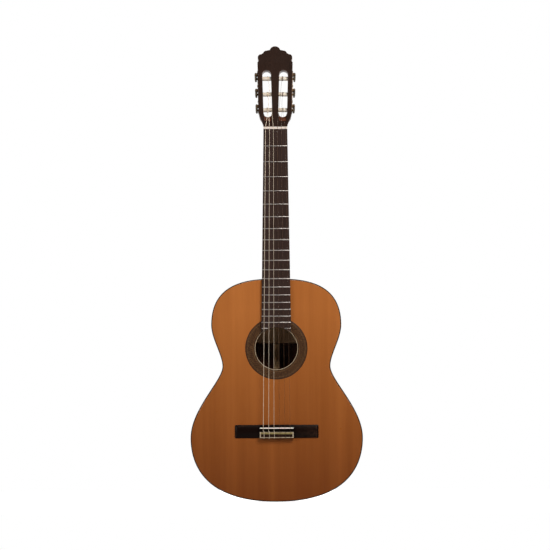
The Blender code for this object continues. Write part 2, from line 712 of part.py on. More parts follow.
def heel_section(share, depth):
    """The heel at one depth: flat against the body, drawn in towards its cap."""
    half = HEEL_CAP_HALF + (HEEL_TOP_HALF - HEEL_CAP_HALF) * (1 - share) ** HEEL_DRAW[0]
    reach = HEEL_CAP_REACH + (HEEL_TOP_REACH - HEEL_CAP_REACH) * (1 - share) ** HEEL_DRAW[1]
    start = BODY_LENGTH + GAP
    turns = [math.pi * i / 8 for i in range(9)]
    return [(half * math.cos(turn), depth, start + reach * math.sin(turn)) for turn in turns]


def make_heel_cap():
    deep = back_depth(0, BODY_LENGTH)
    sections = [heel_section(1, deep - HEEL_CAP_THICKNESS), heel_section(1, deep)]
    loft("heel_cap", "ebony", sections)


def make_head_veneer():
    ring = head_outline(GAP)
    sections = [[(across, up, depth) for across, up in ring] for depth in (0, VENEER)]
    veneer = loft("head_veneer", "rosewood", sections, head_point)
    cut(veneer, *slot_cutters("veneer", VENEER + CUT_PAST))


def fret_z(number):
    return NUT_Z - SCALE_LENGTH * (1 - 2 ** (-number / 12))


def make_fingerboard():
    """The board with its frets. Its end is hollowed to follow the soundhole."""
    top = NUT_Z - GAP
    end = fret_z(FRETS) - FINGERBOARD_PAST_LAST_FRET
    corners = ((-board_half(end), end), (board_half(end), end), (board_half(top), top),
               (-board_half(top), top))
    sections = [[(x, depth, z) for x, z in corners] for depth in (-BOARD_TOP, -GAP)]
    board = loft("fingerboard", "ebony", sections)
    frets = []
    for number in range(1, FRETS + 1):
        z = fret_z(number)
        half = board_half(z) - GAP
        low = -BOARD_TOP + FRET_HEIGHT
        profile = ((z - FRET_WIDTH / 2, low), (z + FRET_WIDTH / 2, low), (z + FRET_WIDTH / 2, -BOARD_TOP),
                   (z, -BOARD_TOP - FRET_HEIGHT), (z - FRET_WIDTH / 2, -BOARD_TOP))
        frets.append([[(x, depth, at) for at, depth in profile] for x in (-half, half)])
    combine(board, lofts("fret_joiner", "brass", frets), "UNION")
    edge = HOLE_RADIUS + FINGERBOARD_END_CLEARANCE
    hollow = [hole_circle(edge, depth) for depth in (-BOARD_TOP - CUT_PAST, CUT_PAST)]
    cut(board, loft("fingerboard_end_cutter", "ebony", hollow))


def make_nut():
    high = STRING_HEIGHT_AT_NUT - GAP
    profile = [(0, GAP)] + [(NUT_LENGTH * share, high - drop) for share, drop in NUT_CREST]
    profile.append((NUT_LENGTH, GAP))
    sections = [[(x, -height, NUT_Z + z) for z, height in profile] for x in (-NUT_HALF, NUT_HALF)]
    loft("nut", "bone", sections)


# ---------------------------------------------------------------- bridge

def bridge_profile():
    """(z, height) corners of the middle of the bridge: tie block, valley, slotted saddle block."""
    tail = SADDLE_Z - BRIDGE_BELOW_SADDLE
    tie_end = tail + TIE_BLOCK_LENGTH
    valley_end = tie_end + VALLEY_LENGTH
    slot = SADDLE_THICKNESS / 2 + GAP
    front = SADDLE_Z + BRIDGE_ABOVE_SADDLE
    return (
        (tail, GAP), (tail, TIE_BLOCK_HEIGHT - CHAMFER), (tail + CHAMFER, TIE_BLOCK_HEIGHT),
        (tie_end - CHAMFER, TIE_BLOCK_HEIGHT), (tie_end, TIE_BLOCK_HEIGHT - CHAMFER),
        (tie_end, VALLEY_HEIGHT), (valley_end, VALLEY_HEIGHT), (valley_end, SADDLE_BLOCK_HEIGHT),
        (SADDLE_Z - slot, SADDLE_BLOCK_HEIGHT), (SADDLE_Z - slot, SLOT_FLOOR),
        (SADDLE_Z + slot, SLOT_FLOOR), (SADDLE_Z + slot, SADDLE_BLOCK_HEIGHT),
        (front - BRIDGE_ABOVE_SADDLE / 2, SADDLE_BLOCK_HEIGHT), (front, SADDLE_BLOCK_FRONT), (front, GAP),
    )


def wing_profile(share):
    """(z, height) corners of a wing: a low arch, flattened towards its ends."""
    tail = SADDLE_Z - BRIDGE_BELOW_SADDLE + WING_SETBACK
    front = SADDLE_Z + BRIDGE_ABOVE_SADDLE - WING_SETBACK
    corners = [(tail, GAP)]
    for step in range(7):
        across = step / 6
        height = WING_EDGE + WING_ARCH * share * (1 - (2 * across - 1) ** 2)
        corners.append((tail + (front - tail) * across, height))
    return [*corners, (front, GAP)]


def string_x(number, spacing):
    """String 0 is the bass E, on the left."""
    return (number - 2.5) * spacing


def make_bridge():
    middle = [[(x, -height, z) for z, height in bridge_profile()]
              for x in (-BRIDGE_CENTRE_HALF, BRIDGE_CENTRE_HALF)]
    bridge = loft("bridge", "ebony", middle)
    ends = ((BRIDGE_HALF, 0), (BRIDGE_HALF - WING_RUNOUT, 1))
    places = [(-x, share) for x, share in ends] + list(reversed(ends))
    wings = [[(x, -height, z) for z, height in wing_profile(share)] for x, share in places]
    combine(bridge, loft("wing_joiner", "ebony", wings), "UNION")
    tail = SADDLE_Z - BRIDGE_BELOW_SADDLE
    holes = []
    for number in range(6):
        x = string_x(number, STRING_SPACING_AT_SADDLE)
        holes.append([
            circle(TIE_HOLE_RADIUS, 8, lambda a, b: (x + a, b - TIE_HOLE_HEIGHT, z))
            for z in (tail - CUT_PAST, tail + TIE_BLOCK_LENGTH + VALLEY_LENGTH / 2)])
    cut(bridge, lofts("tie_hole_cutter", "ebony", holes))


def make_tie_block_inlay():
    low = SADDLE_Z - BRIDGE_BELOW_SADDLE + CHAMFER
    high = SADDLE_Z - BRIDGE_BELOW_SADDLE + TIE_BLOCK_LENGTH - CHAMFER
    half = BRIDGE_CENTRE_HALF - CHAMFER
    bottom = -TIE_BLOCK_HEIGHT - GAP
    top = bottom - INLAY_THICKNESS
    corners = ((-1, low, 1), (1, low, 1), (1, high, -1), (-1, high, -1))
    sections = []
    for side, z, inward in corners:
        x0 = side * half
        x1 = side * (half - INLAY_EDGE)
        z1 = z + inward * INLAY_EDGE
        sections.append([(x0, bottom, z), (x0, top, z), (x1, top, z1), (x1, bottom, z1)])
    loft("tie_block_inlay", "bone", sections, ring=True)


def make_saddle():
    bottom = SLOT_FLOOR + GAP
    top = STRING_HEIGHT_AT_SADDLE - GAP
    half = SADDLE_THICKNESS / 2
    shoulder = top - half
    profile = ((-half, bottom), (-half, shoulder), (-half / 2, top), (half / 2, top), (half, shoulder),
               (half, bottom))
    reach = BRIDGE_CENTRE_HALF - GAP
    sections = [[(x, -height, SADDLE_Z + z) for z, height in profile] for x in (-reach, reach)]
    loft("saddle", "bone", sections)


# ---------------------------------------------------------------- strings

def string_route(number):
    """The string from its knot on the tie block, over the saddle and the nut, to its roller."""
    radius = STRING_DIAMETERS[number] / 2
    clear = radius + GAP
    x = string_x(number, STRING_SPACING_AT_SADDLE)
    beside = x + 3 * radius
    tail = SADDLE_Z - BRIDGE_BELOW_SADDLE
    front = tail + TIE_BLOCK_LENGTH
    over = TIE_BLOCK_HEIGHT + GAP + INLAY_THICKNESS + clear
    saddle_top = STRING_HEIGHT_AT_SADDLE + radius
    nut_top = STRING_HEIGHT_AT_NUT + radius
    nut_x = string_x(number, STRING_SPACING_AT_NUT)
    low = TIE_HOLE_HEIGHT
    route = [
        world_point(beside, -over + 2 * clear, front + clear + GAP),
        world_point(beside, -over + clear / 2, front + clear / 2),
        world_point(beside, -over, front - clear),
        world_point(beside, -over, tail + clear),
        world_point(beside, -over + clear / 2, tail - clear / 2),
        world_point(beside, -(over + low) / 2, tail - 1.5 * clear),
        world_point(x, -low - clear / 2, tail - 1.2 * clear),
        world_point(x, -low, tail - clear / 3),
        world_point(x, -low, front),
        world_point(x, -low - clear, front + 2 * clear),
        world_point(x, -saddle_top + 2 * clear, SADDLE_Z - SADDLE_THICKNESS / 2 - 2 * clear),
        world_point(x, -saddle_top, SADDLE_Z),
        world_point(nut_x, -nut_top, NUT_Z + 1.2 * MM),
    ]
    side = -1 if number < 3 else 1
    from_edge = min(number, 5 - number)
    up = (from_edge - 1) * ROLLER_SPACING
    point = side_point(side)
    wrap = ROLLER_RADIUS + clear
    inward = -(ROLLER_INNER_END + SLOT_RADIUS) / 2 + (1 - from_edge) * ROLLER_STAGGER
    for degrees in (-15, 15, 45, 75, 105, 135):
        turn = math.radians(degrees)
        route.append(point(inward, up + wrap * math.sin(turn), ROLLER_DEPTH - wrap * math.cos(turn)))
    return route


def make_strings():
    for number, diameter in enumerate(STRING_DIAMETERS):
        route = string_route(number)
        name = f"string_{6 - number}"
        line = bpy.data.curves.new(name, "CURVE")
        line.dimensions = "3D"
        line.bevel_depth = diameter / 2
        line.bevel_resolution = 1
        line.use_fill_caps = True
        spline = line.splines.new("POLY")
        spline.points.add(len(route) - 1)
        for place, at in zip(spline.points, route):
            place.co = (*at, 1.0)
        finish = "wound_string" if number < 3 else "nylon"
        line.materials.append(material(finish, *FINISHES[finish]))
        bpy.context.scene.collection.objects.link(bpy.data.objects.new(name, line))


# ---------------------------------------------------------------- tuning machines

def make_tuner_plate(side, word):
    """A plate with a hole for each shaft and a pair of bent tabs that carry each worm."""
    point = side_point(side)
    low = -ROLLER_SPACING - PLATE_BELOW_FIRST
    high = ROLLER_SPACING + PLATE_ABOVE_LAST
    edges = (GAP, GAP + PLATE_THICKNESS)
    corners = [(low, -PLATE_END_SHARE), (low + PLATE_CORNER, -1), (high - PLATE_CORNER, -1),
               (high, -PLATE_END_SHARE), (high, PLATE_END_SHARE), (high - PLATE_CORNER, 1),
               (low + PLATE_CORNER, 1), (low, PLATE_END_SHARE)]
    middle = ROLLER_DEPTH
    sections = [[(out, up, middle + PLATE_HALF_WIDTH * share) for up, share in corners] for out in edges]
    plate = loft(f"tuner_plate_{word}", "brass", sections, point)
    near = THREAD_HALF + TAB_FROM_THREAD
    tabs = []
    shafts = []
    worms = []
    for up in (-ROLLER_SPACING, 0, ROLLER_SPACING):
        axis = up + WORM_ABOVE_ROLLER
        for start in (middle - near - TAB_THICKNESS, middle + near):
            tabs.append([
                [(GAP + PLATE_THICKNESS / 2, axis - TAB_HALF, back), (GEAR_OUT, axis - TAB_HALF, back),
                 (GEAR_OUT + TAB_HALF, axis - TAB_HALF / 2, back),
                 (GEAR_OUT + TAB_HALF, axis + TAB_HALF / 2, back), (GEAR_OUT, axis + TAB_HALF, back),
                 (GAP + PLATE_THICKNESS / 2, axis + TAB_HALF, back)]
                for back in (start, start + TAB_THICKNESS)])
        shafts.append([
            circle(SHAFT_RADIUS + RUNNING, 12, lambda a, b: (out, up + a, middle + b))
            for out in (-PLATE_THICKNESS, 3 * PLATE_THICKNESS)])
        worms.append([
            circle(WORM_SHAFT + RUNNING, 8, lambda a, b: (GEAR_OUT + a, axis + b, back))
            for back in (middle - 2 * near, middle + 2 * near)])
    combine(plate, lofts(f"tab_joiner_{word}", "brass", tabs, point), "UNION")
    cut(plate, lofts(f"shaft_hole_cutter_{word}", "brass", shafts, point))
    cut(plate, lofts(f"worm_hole_cutter_{word}", "brass", worms, point))


def roller_mesh():
    """A smooth roller on a thinner shaft, turned about local X. Its origin is on the head's side."""
    shaft_end = GEAR_OUT + GEAR_THICKNESS / 2 + GAP
    profile = ((-ROLLER_INNER_END, ROLLER_RADIUS), (-ROLLER_SHOULDER, ROLLER_RADIUS),
               (-ROLLER_SHOULDER, SHAFT_RADIUS), (shaft_end, SHAFT_RADIUS))
    shape = bmesh.new()
    add_loft(shape, [circle(radius, 12, lambda a, b: (x, a, b)) for x, radius in profile], local_point)
    return finished_mesh("roller", shape)


def gear_mesh():
    """A toothed wheel about local X, with a gap between teeth straight up and straight down."""
    step = 2 * math.pi / GEAR_TEETH
    wide, narrow = GEAR_TOOTH
    tooth = ((-wide, GEAR_ROOT), (-narrow, GEAR_TIP), (narrow, GEAR_TIP), (wide, GEAR_ROOT))
    rim = []
    for i in range(GEAR_TEETH):
        for share, radius in tooth:
            turn = (i + 0.5 + share) * step
            rim.append((radius * math.cos(turn), radius * math.sin(turn)))
    shape = bmesh.new()
    loops = []
    for x in (GEAR_OUT - GEAR_THICKNESS / 2, GEAR_OUT + GEAR_THICKNESS / 2):
        outer = [shape.verts.new((x, a, b)) for a, b in rim]
        inner = [shape.verts.new(at) for at in circle(SHAFT_RADIUS + GAP, 12, lambda a, b: (x, a, b))]
        rings = []
        for ring in (outer, inner):
            rings.append([shape.edges.new((ring[i - 1], ring[i])) for i in range(len(ring))])
        loops.append(rings)
        bmesh.ops.bridge_loops(shape, edges=rings[0] + rings[1])
    for i in (0, 1):
        bmesh.ops.bridge_loops(shape, edges=loops[0][i] + loops[1][i])
    return finished_mesh("gear", shape)


def worm_mesh():
    """A one-start right-handed thread on a shaft, about local Z, with a crest facing local -Y at z = 0."""
    rows = WORM_TURNS * WORM_SIDES
    facing = round(0.75 * WORM_SIDES + 0.5)
    sections = []
    end = THREAD_HALF
    back_end = BUTTON_START - GAP
    front_end = -(THREAD_HALF + TAB_FROM_THREAD + TAB_THICKNESS + GAP)

    def ring(radius, z):
        return circle(radius, WORM_SIDES, lambda a, b: (a, b, z))

    sections.append(ring(WORM_SHAFT, front_end))
    sections.append(ring(WORM_SHAFT, -end))
    for row in range(rows + 1):
        z = -end + row * THREAD_PITCH / WORM_SIDES
        section = []
        for side in range(WORM_SIDES):
            turn = 2 * math.pi * side / WORM_SIDES
            phase = (row - rows // 2 - side + facing) % WORM_SIDES
            radius = WORM_ROOT + (WORM_CREST - WORM_ROOT) * WORM_LIFT[phase]
            section.append((radius * math.cos(turn), radius * math.sin(turn), z))
        sections.append(section)
    sections.append(ring(WORM_SHAFT, end))
    sections.append(ring(WORM_SHAFT, back_end))
    shape = bmesh.new()
    add_loft(shape, sections, local_point)
    return finished_mesh("worm", shape)


def button_mesh():
    """A paddle for two fingers, about local Z, broad along local Y."""
    shape = bmesh.new()
    sections = []
    for share, wide, thick in BUTTON_STATIONS:
        z = BUTTON_START + BUTTON_LENGTH * share
        half = BUTTON_HALF_WIDTH * wide
        deep = BUTTON_THICKNESS / 2 * thick
        sections.append([
            (deep * a, half * b, z)
            for a, b in (
                (1, 0.8), (0.5, 1), (-0.5, 1), (-1, 0.8), (-1, -0.8), (-0.5, -1), (0.5, -1), (1, -0.8))])
    add_loft(shape, sections, local_point)
    return finished_mesh("button", shape)


def tuner_axes(side, up):
    """The empty at one tuner's roller: X out of the head's side, Z towards the back of the head."""
    point = side_point(side)
    origin = point(0, up, ROLLER_DEPTH)
    out = (point(1, up, ROLLER_DEPTH) - origin).normalized()
    back = (point(0, up, ROLLER_DEPTH + 1) - origin).normalized()
    across = back.cross(out)
    turned = Matrix((out, across, back)).transposed()
    return Matrix.Translation(origin) @ turned.to_4x4()


def make_tuners():
    meshes = {"roller": roller_mesh(), "gear": gear_mesh(), "worm": worm_mesh(), "button": button_mesh()}
    finishes = {"roller": "bone", "gear": "brass", "worm": "brass", "button": "button_plastic"}
    for side, word in ((-1, "bass"), (1, "treble")):
        make_tuner_plate(side, word)
        for place in (0, 1, 2):
            number = 6 - place if side < 0 else 1 + place
            axes = bpy.data.objects.new(f"tuner_axes_{number}", None)
            bpy.context.scene.collection.objects.link(axes)
            axes.matrix_world = tuner_axes(side, (place - 1) * ROLLER_SPACING)
            for piece in ("roller", "gear", "worm", "button"):
                made = show(f"tuner_{piece}_{number}", meshes[piece], finishes[piece])
                made.parent = axes
                if piece in ("worm", "button"):
                    # The worm lies above the roller, which is local +Y on the bass side.
                    made.location = (GEAR_OUT, -side * WORM_ABOVE_ROLLER, 0)
                    made.rotation_euler = (0, 0, 0 if side < 0 else math.pi)


def main():
    for old in list(bpy.data.objects):
        bpy.data.objects.remove(old)
    make_soundboard()
    make_rosette()
    make_back()
    make_sides()
    make_bindings()
    make_linings()
    make_blocks()
    make_bars()
    make_fans()
    make_back_braces()
    make_neck()
    make_heel_cap()
    make_head_veneer()
    make_fingerboard()
    make_nut()
    make_bridge()
    make_tie_block_inlay()
    make_saddle()
    make_strings()
    make_tuners()


main()
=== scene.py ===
import math

import bmesh
import bpy
from mathutils import Matrix, Vector
from mathutils.geometry import tessellate_polygon


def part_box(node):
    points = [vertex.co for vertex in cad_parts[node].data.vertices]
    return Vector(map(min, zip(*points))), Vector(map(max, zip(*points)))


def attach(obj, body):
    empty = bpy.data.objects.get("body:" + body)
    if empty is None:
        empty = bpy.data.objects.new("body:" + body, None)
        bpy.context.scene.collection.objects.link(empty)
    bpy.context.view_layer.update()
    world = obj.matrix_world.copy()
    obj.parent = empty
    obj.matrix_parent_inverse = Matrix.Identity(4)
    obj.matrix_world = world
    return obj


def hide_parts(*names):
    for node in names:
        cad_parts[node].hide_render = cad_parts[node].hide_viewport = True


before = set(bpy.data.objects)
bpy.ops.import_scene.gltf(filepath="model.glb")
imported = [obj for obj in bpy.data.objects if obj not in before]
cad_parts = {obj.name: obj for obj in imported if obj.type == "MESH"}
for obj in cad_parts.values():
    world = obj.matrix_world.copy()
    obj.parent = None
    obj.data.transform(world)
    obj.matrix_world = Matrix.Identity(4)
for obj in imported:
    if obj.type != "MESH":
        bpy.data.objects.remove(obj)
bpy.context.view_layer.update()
print("frame loaded:", len(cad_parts), "nodes")

mm = 0.001


# Places that everything is measured from, read off the frame
def middle(node):
    low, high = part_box(node)
    return (low + high) / 2


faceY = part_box("top_binding")[0].y  # front face of the soundboard
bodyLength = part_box("top_binding")[1].z
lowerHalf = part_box("top_binding")[1].x
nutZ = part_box("nut")[0].z
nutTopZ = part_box("nut")[1].z
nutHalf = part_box("nut")[1].x
saddleZ = middle("saddle").z
holeZ = middle("rosette").z
scaleLength = nutZ - saddleZ


def addRow(shape, points, worn=0.0):
    layer = shape.verts.layers.float.get("edge") or shape.verts.layers.float.new("edge")
    row = [shape.verts.new(point) for point in points]
    for vert in row:
        vert[layer] = worn
    return row


def joinRows(shape, rows, loop=False):
    pairs = list(zip(rows, rows[1:]))
    if loop:
        pairs.append((rows[-1], rows[0]))
    for first, second in pairs:
        for i in range(len(first)):
            j = (i + 1) % len(first)
            shape.faces.new((first[i], first[j], second[j], second[i]))


def capEnds(shape, rows):
    shape.faces.new(rows[0])
    shape.faces.new(rows[-1])


def newMesh(name, shape, sharp=35):
    bmesh.ops.remove_doubles(shape, verts=shape.verts, dist=1e-7)
    bmesh.ops.recalc_face_normals(shape, faces=shape.faces)
    mesh = bpy.data.meshes.new(name)
    shape.to_mesh(mesh)
    shape.free()
    mesh.shade_smooth()
    mesh.set_sharp_from_angle(angle=math.radians(sharp))
    return mesh


def skin(shape, sections, worn=None):
    # a closed body drawn through a row of sections
    worn = worn or [0.0] * len(sections)
    rows = [addRow(shape, section, value) for section, value in zip(sections, worn)]
    joinRows(shape, rows)
    capEnds(shape, rows)


def offset(ring, distance):
    # moves a closed ring to its left, which is into the wood on an outside and on a hole alike
    moved = []
    for i, here in enumerate(ring):
        before = Vector(here) - Vector(ring[i - 1])
        after = Vector(ring[(i + 1) % len(ring)]) - Vector(here)
        before.normalize()
        after.normalize()
        normal = Vector((-before.y - after.y, before.x + after.x))
        normal.normalize()
        share = max(normal.x * -before.y + normal.y * before.x, 0.5)
        moved.append((here[0] + normal.x * distance / share, here[1] + normal.y * distance / share))
    return moved


def easedRows(ring, front, back, ease, steps=3, rim=0.8 * mm):
    # rows of one wall from the front face to the back face, with rounded corners
    rows = [(offset(ring, ease + rim), front, 0.0)]
    for step in range(steps + 1):
        turn = math.pi / 2 * step / steps
        inward = ease * (1 - math.sin(turn))
        rows.append((offset(ring, inward), front + ease * (1 - math.cos(turn)), 1.0))
    return rows + [(line, front + back - depth, worn) for line, depth, worn in reversed(rows)]


def plate(shape, walls, place):
    # walls: rows for the outside and for each hole. The first and last rows bound the two faces.
    fronts, backs = [], []
    for rows in walls:
        made = [addRow(shape, [place(a, b, depth) for a, b in ring], worn) for ring, depth, worn in rows]
        joinRows(shape, made)
        fronts.append((rows[0][0], made[0]))
        backs.append((rows[-1][0], made[-1]))
    for rims in (fronts, backs):
        flat = [[Vector((a, b, 0)) for a, b in ring] for ring, made in rims]
        verts = [vert for ring, made in rims for vert in made]
        for triangle in tessellate_polygon(flat):
            corners = [verts[i] for i in triangle]
            if len(set(corners)) == 3:
                shape.faces.new(corners)


def circle(radius, spans, clockwise=False, centre=(0, 0), start=0.0):
    turns = [start + 2 * math.pi * i / spans for i in range(spans)]
    ring = [(centre[0] + radius * math.cos(t), centre[1] + radius * math.sin(t)) for t in turns]
    return ring[::-1] if clockwise else ring


def roundCorners(points, bend, steps=5):
    # a line whose corners are bent to arcs, straight in between
    line = [points[0]]
    for before, here, after in zip(points, points[1:], points[2:]):
        back = before - here
        on = after - here
        reach = min(bend, back.length * 0.49, on.length * 0.49)
        first = here + back.normalized() * reach
        last = here + on.normalized() * reach
        for step in range(steps + 1):
            t = step / steps
            line.append(first * (1 - t) ** 2 + here * 2 * t * (1 - t) + last * t * t)
    return line + [points[-1]]


def tube(shape, points, radius, sides=10):
    # a round rod along a line, with its length so far kept in "along"
    layer = shape.verts.layers.float.get("along") or shape.verts.layers.float.new("along")
    points = [point for i, point in enumerate(points) if i == 0 or (point - points[i - 1]).length > 1e-7]
    across = None
    done = 0.0
    rows = []
    for i, point in enumerate(points):
        ahead = points[min(i + 1, len(points) - 1)] - points[max(i - 1, 0)]
        ahead.normalize()
        if across is None:
            across = ahead.orthogonal()
        across = (across - ahead * across.dot(ahead)).normalized()
        up = ahead.cross(across)
        if i:
            done += (point - points[i - 1]).length
        row = addRow(shape, [point + across * a + up * b for a, b in circle(radius, sides)])
        for vert in row:
            vert[layer] = done
        rows.append(row)
    joinRows(shape, rows)
    capEnds(shape, rows)


def addObject(name, data):
    made = bpy.data.objects.new(name, data)
    bpy.context.scene.collection.objects.link(made)
    return made


def piece(name, mesh, finish, body, slot=None, replaces=(), place=None):
    made = addObject(name, mesh)
    if place:
        made.matrix_world = place
    if finish:
        mesh.materials.clear()
        mesh.materials.append(finish)
    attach(made, body)
    if replaces:
        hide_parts(*replaces)
    return made


def fixedPiece(name, shape, finish, slot, nodes=(), sharp=35):
    # a piece on the guitar's own body, made straight from its shape
    return piece(name, newMesh(name, shape, sharp), finish, "root", slot, nodes)


def carve(mesh, cutters, operation="DIFFERENCE", sharp=35):
    # joins or cuts closed meshes one after another and gives back one mesh
    base = addObject("carved", mesh)
    others = [addObject("cutter", cutter) for cutter in cutters]
    for other in others:
        change = base.modifiers.new("carve", "BOOLEAN")
        change.operation = operation
        change.solver = "EXACT"
        change.object = other
    bpy.context.view_layer.update()
    graph = bpy.context.evaluated_depsgraph_get()
    result = bpy.data.meshes.new_from_object(base.evaluated_get(graph))
    for made in (base, *others):
        bpy.data.objects.remove(made)
    result.shade_smooth()
    result.set_sharp_from_angle(angle=math.radians(sharp))
    return result


def paint(red, green, blue):
    # a colour as a maker would read it off a chart, 0 to 255
    def linear(value):
        value /= 255
        return value / 12.92 if value <= 0.04045 else ((value + 0.055) / 1.055) ** 2.4
    return (linear(red), linear(green), linear(blue), 1.0)


def addNode(tree, kind, inputs=None, **settings):
    made = tree.nodes.new(kind)
    for name, value in settings.items():
        setattr(made, name, value)
    for key, value in (inputs or {}).items():
        if isinstance(value, bpy.types.NodeSocket):
            tree.links.new(value, made.inputs[key])
        else:
            made.inputs[key].default_value = value
    return made


def calc(tree, operation, first, second=0.0, third=0.0, clamp=False):
    inputs = {0: first, 1: second, 2: third}
    return addNode(tree, "ShaderNodeMath", inputs, operation=operation, use_clamp=clamp).outputs[0]


def mixColour(tree, share, first, second, mode="MIX"):
    inputs = {0: share, 6: first, 7: second}
    return addNode(tree, "ShaderNodeMix", inputs, data_type="RGBA", blend_type=mode).outputs[2]


def between(tree, value, low, high, newLow=0.0, newHigh=1.0):
    inputs = {"Value": value, "From Min": low, "From Max": high, "To Min": newLow, "To Max": newHigh}
    return addNode(tree, "ShaderNodeMapRange", inputs).outputs[0]


def noise(tree, vector, scale, detail=2.0, roughness=0.5):
    inputs = {"Vector": vector, "Scale": scale, "Detail": detail, "Roughness": roughness}
    return addNode(tree, "ShaderNodeTexNoise", inputs).outputs[0]


def stretched(tree, vector, x, y, z):
    inputs = {0: vector, 1: (x, y, z)}
    return addNode(tree, "ShaderNodeVectorMath", inputs, operation="MULTIPLY").outputs[0]


def newGroup(name, inputs, outputs):
    group = bpy.data.node_groups.new(name, "ShaderNodeTree")
    kinds = {"value": "NodeSocketFloat", "colour": "NodeSocketColor", "vector": "NodeSocketVector"}
    for label, kind, value in inputs:
        socket = group.interface.new_socket(label, in_out="INPUT", socket_type=kinds[kind])
        if value is not None:
            socket.default_value = value
    for label, kind in outputs:
        group.interface.new_socket(label, in_out="OUTPUT", socket_type=kinds[kind])
    return group, group.nodes.new("NodeGroupInput").outputs, group.nodes.new("NodeGroupOutput").inputs


def makeGrainGroup():
    # wood whose fibres run along Z: broad bands, year lines, fibres and open pores
    group, given, out = newGroup("woodGrain", [
        ("Vector", "vector", None), ("Line Spacing", "value", 0.0012), ("Stretch", "value", 40.0),
        ("Waviness", "value", 0.3), ("Bands", "value", 0.4), ("Lines", "value", 0.4),
        ("Fibres", "value", 0.2), ("Pores", "value", 0.0), ("Light", "colour", None),
        ("Dark", "colour", None), ("Pore Colour", "colour", None)],
        [("Color", "colour"), ("Height", "value"), ("Pore Mask", "value")])
    fine = calc(group, "DIVIDE", 1.0, given["Line Spacing"])
    along = calc(group, "DIVIDE", fine, given["Stretch"])
    scale = addNode(group, "ShaderNodeCombineXYZ", {0: fine, 1: fine, 2: along}).outputs[0]
    inputs = {0: given["Vector"], 1: scale}
    place = addNode(group, "ShaderNodeVectorMath", inputs, operation="MULTIPLY").outputs[0]
    split = addNode(group, "ShaderNodeSeparateXYZ", {0: place}).outputs
    drift = calc(group, "SUBTRACT", noise(group, place, 0.09, 3.0), 0.5)
    across = calc(group, "MULTIPLY_ADD", split[1], 0.45, split[0])
    across = calc(group, "MULTIPLY_ADD", drift, calc(group, "MULTIPLY", given["Waviness"], 30.0), across)
    wave = calc(group, "SINE", calc(group, "MULTIPLY", across, math.tau))
    line = calc(group, "POWER", calc(group, "MULTIPLY_ADD", wave, 0.5, 0.5), 2.5)
    bandNoise = between(group, noise(group, place, 0.045, 4.0, 0.6), 0.32, 0.68)
    fibreNoise = between(group, noise(group, stretched(group, place, 3.0, 3.0, 1.5), 1.0, 3.0), 0.3, 0.7)
    poreNoise = noise(group, stretched(group, place, 2.2, 2.2, 1.3), 1.0, 2.0)
    pore = between(group, poreNoise, 0.62, 0.7)
    pore = calc(group, "MULTIPLY", pore, given["Pores"], clamp=True)
    shade = calc(group, "MULTIPLY", bandNoise, given["Bands"])
    shade = calc(group, "MULTIPLY_ADD", line, given["Lines"], shade)
    shade = calc(group, "MULTIPLY_ADD", fibreNoise, given["Fibres"], shade, clamp=True)
    colour = mixColour(group, shade, given["Light"], given["Dark"])
    colour = mixColour(group, pore, colour, given["Pore Colour"])
    group.links.new(colour, out["Color"])
    sunk = calc(group, "MULTIPLY_ADD", shade, 0.3, pore)
    group.links.new(calc(group, "SUBTRACT", 1.0, sunk), out["Height"])
    group.links.new(pore, out["Pore Mask"])
    return group


def makeLacquerGroup():
    # a hand-rubbed finish: faint ripple and smudges where hands rest
    group, given, out = newGroup("lacquer", [
        ("Vector", "vector", None), ("Roughness", "value", 0.2), ("Smudges", "value", 0.08),
        ("Ripple", "value", 0.3)], [("Roughness", "value"), ("Height", "value")])
    smudge = calc(group, "SUBTRACT", noise(group, given["Vector"], 28.0, 4.0, 0.65), 0.5)
    rough = calc(group, "MULTIPLY_ADD", smudge, given["Smudges"], given["Roughness"], clamp=True)
    ripple = calc(group, "MULTIPLY", noise(group, given["Vector"], 420.0, 1.0), given["Ripple"])
    group.links.new(rough, out["Roughness"])
    group.links.new(ripple, out["Height"])
    return group


def makeWearGroup():
    # corners rubbed back to a lighter tone, in patches
    group, given, out = newGroup("edgeWear", [
        ("Color", "colour", None), ("Worn Color", "colour", None), ("Amount", "value", 0.5),
        ("Vector", "vector", None)], [("Color", "colour"), ("Mask", "value")])
    edge = addNode(group, "ShaderNodeAttribute", attribute_name="edge").outputs["Fac"]
    patch = between(group, noise(group, given["Vector"], 160.0, 4.0, 0.7), 0.38, 0.66)
    mask = calc(group, "MULTIPLY", edge, calc(group, "MULTIPLY", patch, given["Amount"]), clamp=True)
    group.links.new(mixColour(group, mask, given["Color"], given["Worn Color"]), out["Color"])
    group.links.new(mask, out["Mask"])
    return group


def makeMetalGroup():
    # plated metal that has dulled unevenly, with fine rubbing marks
    group, given, out = newGroup("dulledMetal", [
        ("Vector", "vector", None), ("Bright", "colour", None), ("Dull", "colour", None),
        ("Dulling", "value", 0.5), ("Roughness", "value", 0.25)],
        [("Color", "colour"), ("Roughness", "value"), ("Height", "value")])
    patch = between(group, noise(group, given["Vector"], 140.0, 5.0, 0.65), 0.35, 0.7)
    patch = calc(group, "MULTIPLY", patch, given["Dulling"], clamp=True)
    rubbed = noise(group, stretched(group, given["Vector"], 900.0, 900.0, 5200.0), 1.0, 2.0)
    rough = calc(group, "MULTIPLY_ADD", patch, 0.25, given["Roughness"])
    rough = calc(group, "MULTIPLY_ADD", calc(group, "SUBTRACT", rubbed, 0.5), 0.12, rough, clamp=True)
    group.links.new(mixColour(group, patch, given["Bright"], given["Dull"]), out["Color"])
    group.links.new(rough, out["Roughness"])
    group.links.new(rubbed, out["Height"])
    return group


grainGroup = makeGrainGroup()
lacquerGroup = makeLacquerGroup()
wearGroup = makeWearGroup()
metalGroup = makeMetalGroup()


def useGroup(tree, group, inputs):
    return addNode(tree, "ShaderNodeGroup", inputs, node_tree=group).outputs


